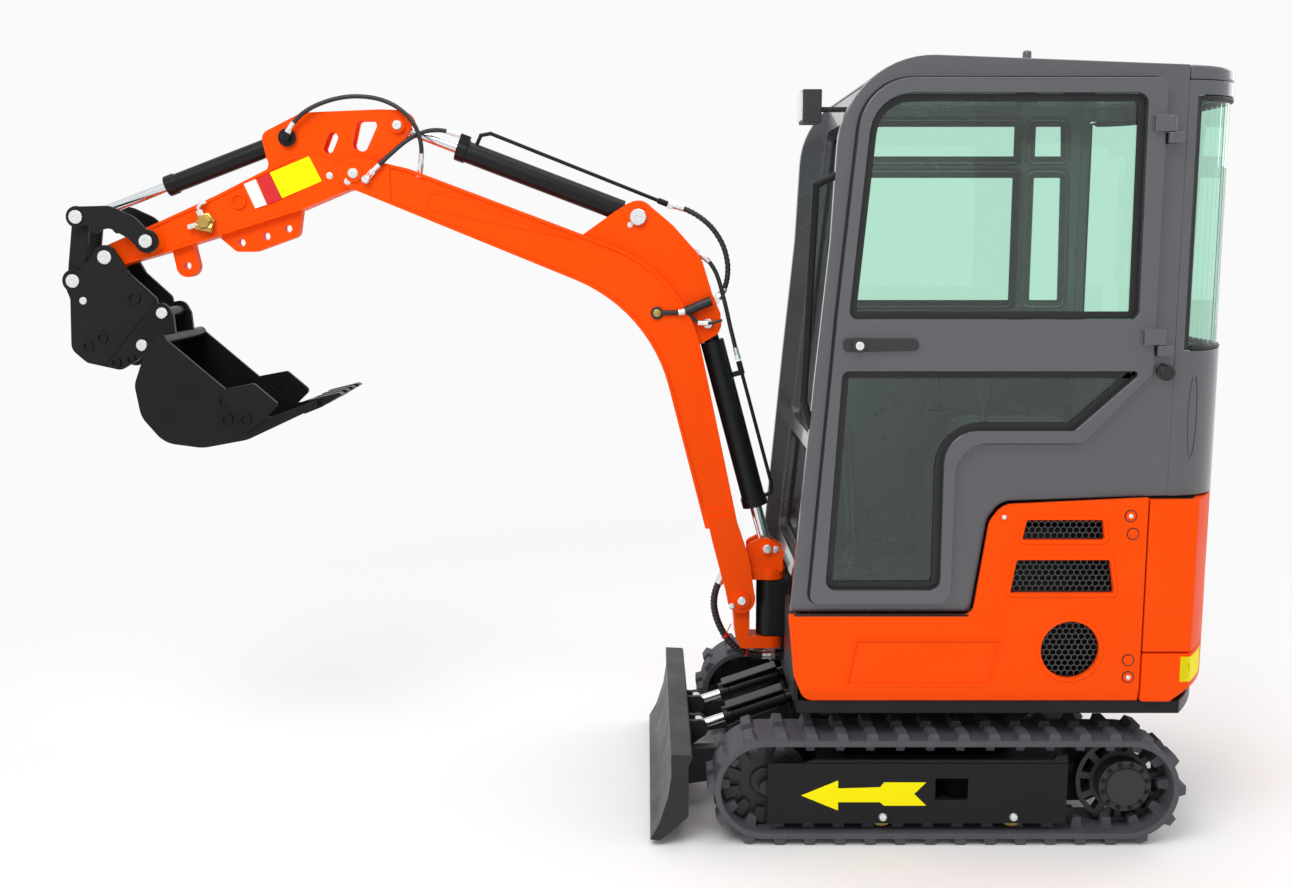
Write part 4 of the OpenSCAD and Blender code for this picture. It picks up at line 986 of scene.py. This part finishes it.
class EXCAVATOR_OT_undercarriage_trim(PieceOperator):
    """Adds the frame cover plates, travel arrow, idler ribs, roller ends and motor bolts"""

    bl_idname = "excavator.undercarriage_trim"
    bl_label = "Undercarriage trim"

    arrow = [
        (-423, 152), (-313, 199), (-313, 174), (-187, 178), (-176, 193), (-50, 193), (-85, 157), (-48, 120),
        (-174, 120), (-187, 131), (-312, 131), (-312, 105)]
    plate = [(-523, 64), (372, 64), (372, 246), (-523, 246)]
    hole = [(-22, 138), (76, 138), (76, 205), (-22, 205)]
    plate_face = 529.9
    arrow_face = 533.7
    roller_x = (-177, 215)
    # height and distance across of the rollers' caps and bolts in mm
    roller_cap = (80, 503)
    roller_bolt = (84, 533.5)
    motor = (551, 173)
    motor_face = 515.5
    stud_count = 12
    stud_circle = 68.5
    idler = (-529, 173)
    idler_face = 469.8
    rib_count = 11
    # a rib's corners as (distance from the hub, half width) in mm
    rib = [(78, -13), (126, -19), (126, 19), (78, 13)]

    def make(self):
        shape = bmesh.new()
        for side in SIDES:
            y = self.plate_face * side.y
            ring(shape, *[[at(x, z, y) for x, z in loop] for loop in (self.plate, self.hole)], side * 4 * MM)
            lip = [at(x, self.plate[2][1], 529 * side.y) for x in (self.plate[0][0], self.plate[1][0])]
            swept(shape, lip, 6, 16)
        piece("track_frame_covers", shape, "undercarriage", "black_paint")
        shape = bmesh.new()
        prism(shape, [at(x, z, -self.arrow_face) for x, z in self.arrow], LEFT * 0.9 * MM)
        piece("travel_arrow", shape, "undercarriage", "film_yellow")
        self.idler_ribs()
        self.fastenings()

    def fastenings(self):
        """Roller ends with their bolts, and the studs round the travel motors."""
        caps = bmesh.new()
        bolts = bmesh.new()
        studs = bmesh.new()
        for side in SIDES:
            for x in self.roller_x:
                z, across = self.roller_cap
                turned(caps, at(x, z, across * side.y), side, [(36, 0), (36, 7), (33, 10)])
                z, across = self.roller_bolt
                turned(bolts, at(x, z, across * side.y), side, [(13, 0), (13, 3), (10, 8), (5, 10)])
            for k in range(self.stud_count):
                t = 2 * math.pi * (k + 0.5) / self.stud_count
                x = self.motor[0] + self.stud_circle * math.cos(t)
                z = self.motor[1] + self.stud_circle * math.sin(t)
                hex_bolt(studs, at(x, z, self.motor_face * side.y), side, 5)
        piece("roller_end_caps", caps, "undercarriage", "fitting_brass", 30)
        piece("roller_bolts", bolts, "undercarriage", "pin_zinc", 30)
        piece("motor_bolts", studs, "undercarriage", "black_paint", 30)

    def idler_ribs(self):
        """Hub and radial ribs on the outer faces of the front idlers."""
        shape = bmesh.new()
        for side in SIDES:
            middle = at(*self.idler, self.idler_face * side.y)
            turned(shape, middle, side, [(44, 0), (44, 10), (38, 14)])
            for k in range(self.rib_count):
                t = 2 * math.pi * k / self.rib_count
                out = Vector((math.cos(t), 0, math.sin(t)))
                across = Vector((-math.sin(t), 0, math.cos(t)))
                loop = [middle + out * r * MM + across * w * MM for r, w in self.rib]
                prism(shape, loop, side * 16 * MM)
        piece("idler_ribs", shape, "undercarriage", "cast_parts", 30)


class EXCAVATOR_OT_house_trim(PieceOperator):
    """Adds the bolts, plugs with rings of painted shade, louvre lips, grilles, strips, seals, the painted
    shade in the hood gap and the blank rear label of the house
    """

    bl_idname = "excavator.house_trim"
    bl_label = "House trim"

    # places and outlines in the side view, (x, z) in mm
    bolts = [(521, 1003), (537, 518), (153, 1000)]
    plugs = [(521, 1003), (530, 950), (535, 570), (537, 518)]
    dent = [(-290, 497), (124, 497), (155, 628), (-266, 628)]
    base_strip = [(-452, 702), (60, 702), (60, 708), (-452, 708)]
    hood_gap = [(552, 600), (592, 600), (592, 1040), (552, 1040)]
    # distances across in mm
    cover_face = 529.8
    bolt_face = 532.8
    dent_face = 529.9
    strip_face = 526
    gap_face = 513.5
    # a louvre lip's section as (y, height above its own foot) in mm
    lip = [(529, 32), (533, 31), (541, 2), (540, -2), (537, -1), (529, 24)]
    lip_count = 6
    lip_step = 55
    lip_start = (186, 620)
    lip_length = 298 * MM
    bay_r = 872
    bay_turn = 35.6
    bay_back = (640, 507)
    bay_z = 1029
    hood_r = 877 * MM
    grille_turn = math.radians(17)
    grille_z = 810 * MM
    grille_half = (106 * MM, 141 * MM)
    label_z = 504
    label_height = 76 * MM
    label_r = 892

    def make(self):
        self.fastenings()
        self.louvres_and_strips()
        self.grilles()
        self.rear_label()
        shape = bmesh.new()
        loop = [at(x, z, -self.dent_face) for x, z in self.dent]
        ring(shape, inset(loop, LEFT, -7 * MM), inset(loop, LEFT, -1 * MM), LEFT * 2.5 * MM)
        piece("cover_dent_lip", shape, "house", "body_paint", 30)
        self.gap_shade_and_bay_sheet()

    def fastenings(self):
        shape = bmesh.new()
        for x, z in self.bolts:
            for side in SIDES:
                hex_bolt(shape, at(x, z, self.bolt_face * side.y), side, 4.5)
        piece("cover_bolts", shape, "house", "pin_zinc", 30)
        discs = bmesh.new()
        rims = bmesh.new()
        for x, z in self.plugs:
            for side in SIDES:
                base = at(x, z, self.cover_face * side.y)
                # painted shade: the black ring round each plug stands in for the shade in its round recess
                turned(rims, base, side, [(18, 0), (18, 1.6)])
                turned(discs, base, side, [(15, 0), (15, 3), (12, 4.4)])
        piece("cover_plug_rims", rims, "house", "seal", 30)
        piece("cover_plugs", discs, "house", "body_paint", 30)

    def louvres_and_strips(self):
        shape = bmesh.new()
        x, low = self.lip_start
        for k in range(self.lip_count):
            section = [at(x, low + self.lip_step * k + rise, y) for y, rise in self.lip]
            prism(shape, section, Vector((self.lip_length, 0, 0)))
        piece("right_louvre_lips", shape, "house", "body_paint", 30)
        shape = bmesh.new()
        for side in SIDES:
            prism(shape, [at(x, z, self.strip_face * side.y) for x, z in self.base_strip], side * 4 * MM)
        piece("cab_base_strips", shape, "house", "seal", 30)

    def gap_shade_and_bay_sheet(self):
        """Painted shade: a dark strip behind the hood's front gap that stands in for the shade inside it,
        and the sheet over the engine bay.
        """
        shape = bmesh.new()
        # painted shade: this dark strip behind the gap stands in for the shade inside the engine bay
        prism(shape, [at(x, z, -self.gap_face) for x, z in self.hood_gap], RIGHT * 2 * MM)
        piece("hood_gap_seal", shape, "house", "seal", 30)
        shape = bmesh.new()
        arc = [math.radians(self.bay_turn * (1 - k / 12)) for k in range(25)]
        rim = [at(self.bay_r * math.cos(t), self.bay_z, self.bay_r * math.sin(t)) for t in arc]
        x, y = self.bay_back
        prism(shape, [at(x, self.bay_z, y), *rim, at(x, self.bay_z, -y)], UP * 4 * MM)
        piece("engine_bay_top_sheet", shape, "house", "seal", 30)

    def grilles(self):
        shape = bmesh.new()
        pitch = detail().mesh_pitch
        outer = pitch / math.sqrt(3)
        inner = outer - detail().mesh_wire
        for turn in (-self.grille_turn, self.grille_turn):
            depth = Vector((math.cos(turn), math.sin(turn), 0)) * -5 * MM
            for row in range(-12, 13):
                for column in range(-8, 9):
                    u = (column + 0.5 * (row % 2)) * pitch
                    v = row * outer * 1.5
                    if (u / self.grille_half[0]) ** 2 + (v / self.grille_half[1]) ** 2 < 1.1:
                        ring(shape, *[self.hexagon_on_hood(turn, u, v, r) for r in (outer, inner)], depth)
        piece("hood_grilles", shape, "rear_hood", "mesh_coat", 20)

    def hexagon_on_hood(self, turn, u, v, radius):
        return [self.on_hood(turn, u + radius * math.cos(t), v + radius * math.sin(t)) for t in HEX_TURNS]

    def on_hood(self, turn, u, v):
        """Point inside the hood's skin at a distance across and above the middle of a grille."""
        depth = math.sqrt(self.hood_r**2 - u * u)
        x = depth * math.cos(turn) - u * math.sin(turn)
        y = depth * math.sin(turn) + u * math.cos(turn)
        return Vector((x, y, self.grille_z + v))

    def rear_label(self):
        """Blank yellow label round the corner of the counterweight."""
        shape = bmesh.new()
        loops = []
        z = self.label_z
        for out in (-0.6, 1.2):
            radius = self.label_r + out
            low = [at(690, z, -530 - out), at(710, z, -530 - out), at(717 + out, z, -528.6 - out)]
            for degrees in range(9):
                t = math.radians(-35.8 + degrees)
                low.append(at(radius * math.cos(t), z, radius * math.sin(t)))
            loops.append(low + [p + UP * self.label_height for p in reversed(low)])
        loft(shape, loops)
        piece("rear_label_blank", shape, "house", "film_yellow", 30)


class EXCAVATOR_OT_labels(PieceOperator):
    """Adds the blank film labels of the arm"""

    bl_idname = "excavator.labels"
    bl_label = "Blank labels"

    arm_face = 37.5
    film_reach = 5.1 * MM
    films = {
        "film_yellow": [(-2070, 2004), (-1945, 2055), (-1907, 1978), (-2034, 1925)],
        "film_red": [(-2109, 1985), (-2071, 2003), (-2035, 1924), (-2080, 1906)],
        "film_white": [(-2153, 1969), (-2115, 1984), (-2083, 1905), (-2120, 1893)],
    }

    def make(self):
        for name, loop in self.films.items():
            shape = bmesh.new()
            prism(shape, [at(x, z, -self.arm_face) for x, z in loop], LEFT * self.film_reach)
            piece("arm_label_" + name[5:], shape, "arm", name)


class EXCAVATOR_OT_cab_trim(PieceOperator):
    """Adds the door gap, rear window seal, corner moulding, lamp lens, lock, bumper and lever boots"""

    bl_idname = "excavator.cab_trim"
    bl_label = "Cab trim"

    # (share of the foot's radius, height in mm) of the rubber boots
    bellows = [(1.0, 0), (0.78, 9), (0.9, 13), (0.66, 21), (0.76, 25), (0.52, 33), (0.6, 37), (0.34, 46)]
    # (radius, height) of the lever grips in mm
    grip = [(16, 0), (21, 12), (22, 30), (20.5, 42), (24, 62), (25, 80), (19, 91)]
    lever_x = 130
    lever_y = 345
    lever_foot_z = 1199
    lever_grip_z = 1322
    lever_boot_r = 40
    travel_lever = (-200, 727, 60)
    travel_lean = (-0.065, 0, 1)
    travel_boot_r = 32
    corner = (634, 312)
    corner_r = 188
    pane_start = 34
    pane_z = 1488
    pane_height = 704 * MM
    moulding_turn = (21, 4.6)
    moulding_z = (1290, 122)
    # the lens: (x, cut on each edge), and the lamp's front as low and high y, low and high z in mm
    lens_steps = ((-429, 7), (-434, 7), (-437, 14))
    lamp_front = (-345, -235, 2135, 2230)
    # places as (x, z, distance across), profiles as (radius, height) in mm
    lock_spot = (-280, 1499, -551.5)
    lock = [(12, 0), (12, 2.4), (10, 3.4), (4, 3.4), (3, 2)]
    stop_spot = (606, 1420, -525.5)
    stop = [(23, 0), (23, 5), (18, 10), (9, 11.5)]
    gap_face = -499.9 * MM

    def make(self):
        self.door_gap()
        self.rear_seal()
        self.mouldings()
        self.lamp()
        shape = bmesh.new()
        turned(shape, at(*self.lock_spot), LEFT, self.lock)
        piece("door_lock_barrel", shape, "cab_door", "pin_zinc", 30)
        shape = bmesh.new()
        turned(shape, at(*self.stop_spot), LEFT, self.stop)
        piece("door_stop_rubber", shape, "house", "seal", 30)
        self.boots()

    def door_gap(self):
        """Dark rubber edge on the cab side, just outside the closed door."""
        shape = bmesh.new()
        loops = face_loops("door_frame", RIGHT, max)
        outline = max(loops, key=lambda loop: max(p.z for p in loop) - min(p.z for p in loop))
        loop = [Vector((p.x, self.gap_face, p.z)) for p in outline]
        ring(shape, inset(loop, LEFT, -6 * MM), inset(loop, LEFT, 8 * MM), LEFT * 1.6 * MM)
        piece("door_gap_seal", shape, "house", "seal", 30)

    def on_corner(self, turn, z, side, out):
        """Point on a rear corner of the cab; turn runs from the side to the back."""
        radius = self.corner_r + out
        x = self.corner[0] + radius * math.sin(turn)
        return at(x, z, side * (self.corner[1] + radius * math.cos(turn)))

    def rear_seal(self):
        """Rubber cord round the wrapped rear pane."""
        shape = bmesh.new()
        first = math.asin(self.pane_start / self.corner_r)
        turns = [first + (math.pi / 2 - first) * k / 10 for k in range(11)]
        low = [self.on_corner(t, self.pane_z, 1, -8) for t in turns]
        low += [self.on_corner(t, self.pane_z, -1, -8) for t in reversed(turns)]
        high = [p + UP * self.pane_height for p in reversed(low)]
        middle = (low[10] + low[11]) / 2
        swept(shape, [middle, *low[11:], *high, *low[:11], middle], 9, 8)
        piece("rear_window_seal", shape, "house", "seal", 50)

    def mouldings(self):
        """Raised oval lines pressed into the two rear corners."""
        shape = bmesh.new()
        for side in (-1, 1):
            path = []
            for k in range(49):
                t = 2 * math.pi * k / 48
                turn = math.radians(self.moulding_turn[0] + self.moulding_turn[1] * math.cos(t))
                z = self.moulding_z[0] + self.moulding_z[1] * math.sin(t)
                path.append(self.on_corner(turn, z, side, 0.6))
            swept(shape, path, 2.4, 8)
        piece("corner_mouldings", shape, "house", "cab_paint", 60)

    def lamp(self):
        shape = bmesh.new()
        loops = []
        for x, cut in self.lens_steps:
            y0, y1, z0, z1 = (edge + cut * way for edge, way in zip(self.lamp_front, (1, -1, 1, -1)))
            loops.append([at(x, z, y) for y, z in ((y0, z0), (y1, z0), (y1, z1), (y0, z1))])
        loft(shape, loops)
        piece("work_lamp_lens", shape, "house", "lamp_lens", 20)

    def boot(self, shape, base, axis, radius):
        turned(shape, base, axis, [(radius * share, height) for share, height in self.bellows])

    def boots(self):
        shape = bmesh.new()
        x, z, y = self.travel_lever
        for side in (-1, 1):
            across = side * self.lever_y
            self.boot(shape, at(self.lever_x, self.lever_foot_z, across), UP, self.lever_boot_r)
            self.boot(shape, at(x, z, side * y), self.travel_lean, self.travel_boot_r)
            turned(shape, at(self.lever_x, self.lever_grip_z, across), UP, self.grip)
        piece("lever_boots_and_grips", shape, "house", "black_plastic", 50)


class EXCAVATOR_OT_seat(PieceOperator):
    """Makes the seat: bellows base and two cushions swelled by a cloth simulation"""

    bl_idname = "excavator.seat"
    bl_label = "Seat"

    # (cut on each edge, height) of the base's folds in mm
    folds = [(0, 0), (8, 12), (0, 18), (8, 30), (0, 36), (8, 48), (0, 60)]
    base_x = (150, 530)
    base_y = 230
    base_z = 1050
    edge_round = 0.024
    channel_width = 0.035
    channel_depth = 0.05

    def make(self):
        shape = bmesh.new()
        loops = []
        for cut, rise in self.folds:
            x0, x1, y = self.base_x[0] + cut, self.base_x[1] - cut, self.base_y - cut
            box = ((x0, -y), (x1, -y), (x1, y), (x0, y))
            loops.append([at(x, self.base_z + rise, y) for x, y in box])
        loft(shape, loops)
        piece("seat_bellows_base", shape, "house", "black_plastic", 30)
        back_size = (0.066, 0.42, 0.372)
        self.cushion("seat_cushion", at(330, 1156, 0), (0.40, 0.44, 0.068), 0, (0, 0.33, -0.33))
        self.cushion("seat_back_cushion", at(612, 1346, 0), back_size, math.radians(8), (0, 0.4, -0.4))

    def cushion(self, name, middle, size, tilt, channels):
        """Rounded pad of a size, swelled under pressure, with sewn channels across it."""
        shape = bmesh.new()
        bmesh.ops.create_cube(shape, size=1)
        bmesh.ops.scale(shape, vec=size, verts=shape.verts)
        bmesh.ops.bevel(
            shape, geom=shape.edges[:], offset=self.edge_round, segments=3, profile=0.6, affect="EDGES"
        )
        pad = piece(name, shape, None, "seat_vinyl", 70)
        self.swell(pad)
        for v in pad.data.vertices:
            reach = v.co.y / size[1] * 2
            for place in channels:
                dip = math.exp(-(((reach - place) / self.channel_width) ** 2))
                v.co *= 1 - self.channel_depth * dip
        turn = math.cos(tilt), math.sin(tilt)
        for v in pad.data.vertices:
            x, z = v.co.x, v.co.z
            v.co = middle + Vector((x * turn[0] + z * turn[1], v.co.y, z * turn[0] - x * turn[1]))
        pad.data.shade_smooth()
        soft = pad.modifiers.new("soft", "SUBSURF")
        soft.levels = 1
        soft.render_levels = 1
        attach(pad, "house")
        if name == "seat_cushion":
            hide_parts("seat")

    def swell(self, pad):
        """Swells a pad with air pressure and keeps each point within the allowed rise."""
        fine = pad.modifiers.new("fine", "REMESH")
        fine.mode = "VOXEL"
        fine.voxel_size = 6 * MM
        self.apply(pad)
        rest = [v.co.copy() for v in pad.data.vertices]
        cloth = pad.modifiers.new("cloth", "CLOTH")
        cloth.settings.use_pressure = True
        cloth.settings.uniform_pressure_force = 4
        cloth.settings.effector_weights.gravity = 0
        scene = bpy.context.scene
        for number in range(1, 21):
            scene.frame_set(number)
        self.apply(pad)
        scene.frame_set(1)
        most = detail().cushion_rise
        for v, old in zip(pad.data.vertices, rest):
            move = v.co - old
            if move.length > most:
                v.co = old + move * (most / move.length)

    def apply(self, pad):
        """Keeps the mesh as its modifiers show it and removes them."""
        seen = pad.evaluated_get(bpy.context.evaluated_depsgraph_get())
        mesh = bpy.data.meshes.new_from_object(seen)
        pad.modifiers.clear()
        pad.data = mesh


CLASSES = (
    PaintSettings,
    DetailSettings,
    EXCAVATOR_OT_stage,
    EXCAVATOR_OT_hoses,
    EXCAVATOR_OT_finish_nodes,
    EXCAVATOR_OT_window_seals,
    EXCAVATOR_OT_vent_meshes,
    EXCAVATOR_OT_pins,
    EXCAVATOR_OT_bosses,
    EXCAVATOR_OT_undercarriage_trim,
    EXCAVATOR_OT_house_trim,
    EXCAVATOR_OT_labels,
    EXCAVATOR_OT_cab_trim,
    EXCAVATOR_OT_seat,
)
STEPS = [c for c in CLASSES if issubclass(c, PieceOperator)]


class EXCAVATOR_PT_panel(bpy.types.Panel):
    """Lists the colours, sizes and steps of the excavator"""

    bl_label = "Mini excavator"
    bl_idname = "EXCAVATOR_PT_panel"
    bl_space_type = "VIEW_3D"
    bl_region_type = "UI"
    bl_category = "Excavator"

    def draw(self, context):
        for group in (context.scene.excavator_paint, context.scene.excavator_detail):
            for key in group.__annotations__:
                self.layout.prop(group, key)
        for step in STEPS:
            self.layout.operator(step.bl_idname)


def register():
    for made in (*CLASSES, EXCAVATOR_PT_panel):
        bpy.utils.register_class(made)
    bpy.types.Scene.excavator_paint = PointerProperty(type=PaintSettings)
    bpy.types.Scene.excavator_detail = PointerProperty(type=DetailSettings)


def unregister():
    del bpy.types.Scene.excavator_detail
    del bpy.types.Scene.excavator_paint
    for made in (EXCAVATOR_PT_panel, *reversed(CLASSES)):
        bpy.utils.unregister_class(made)


def main():
    register()
    for step in STEPS:
        group, name = step.bl_idname.split(".")
        getattr(getattr(bpy.ops, group), name)()


if __name__ == "__main__":
    main()
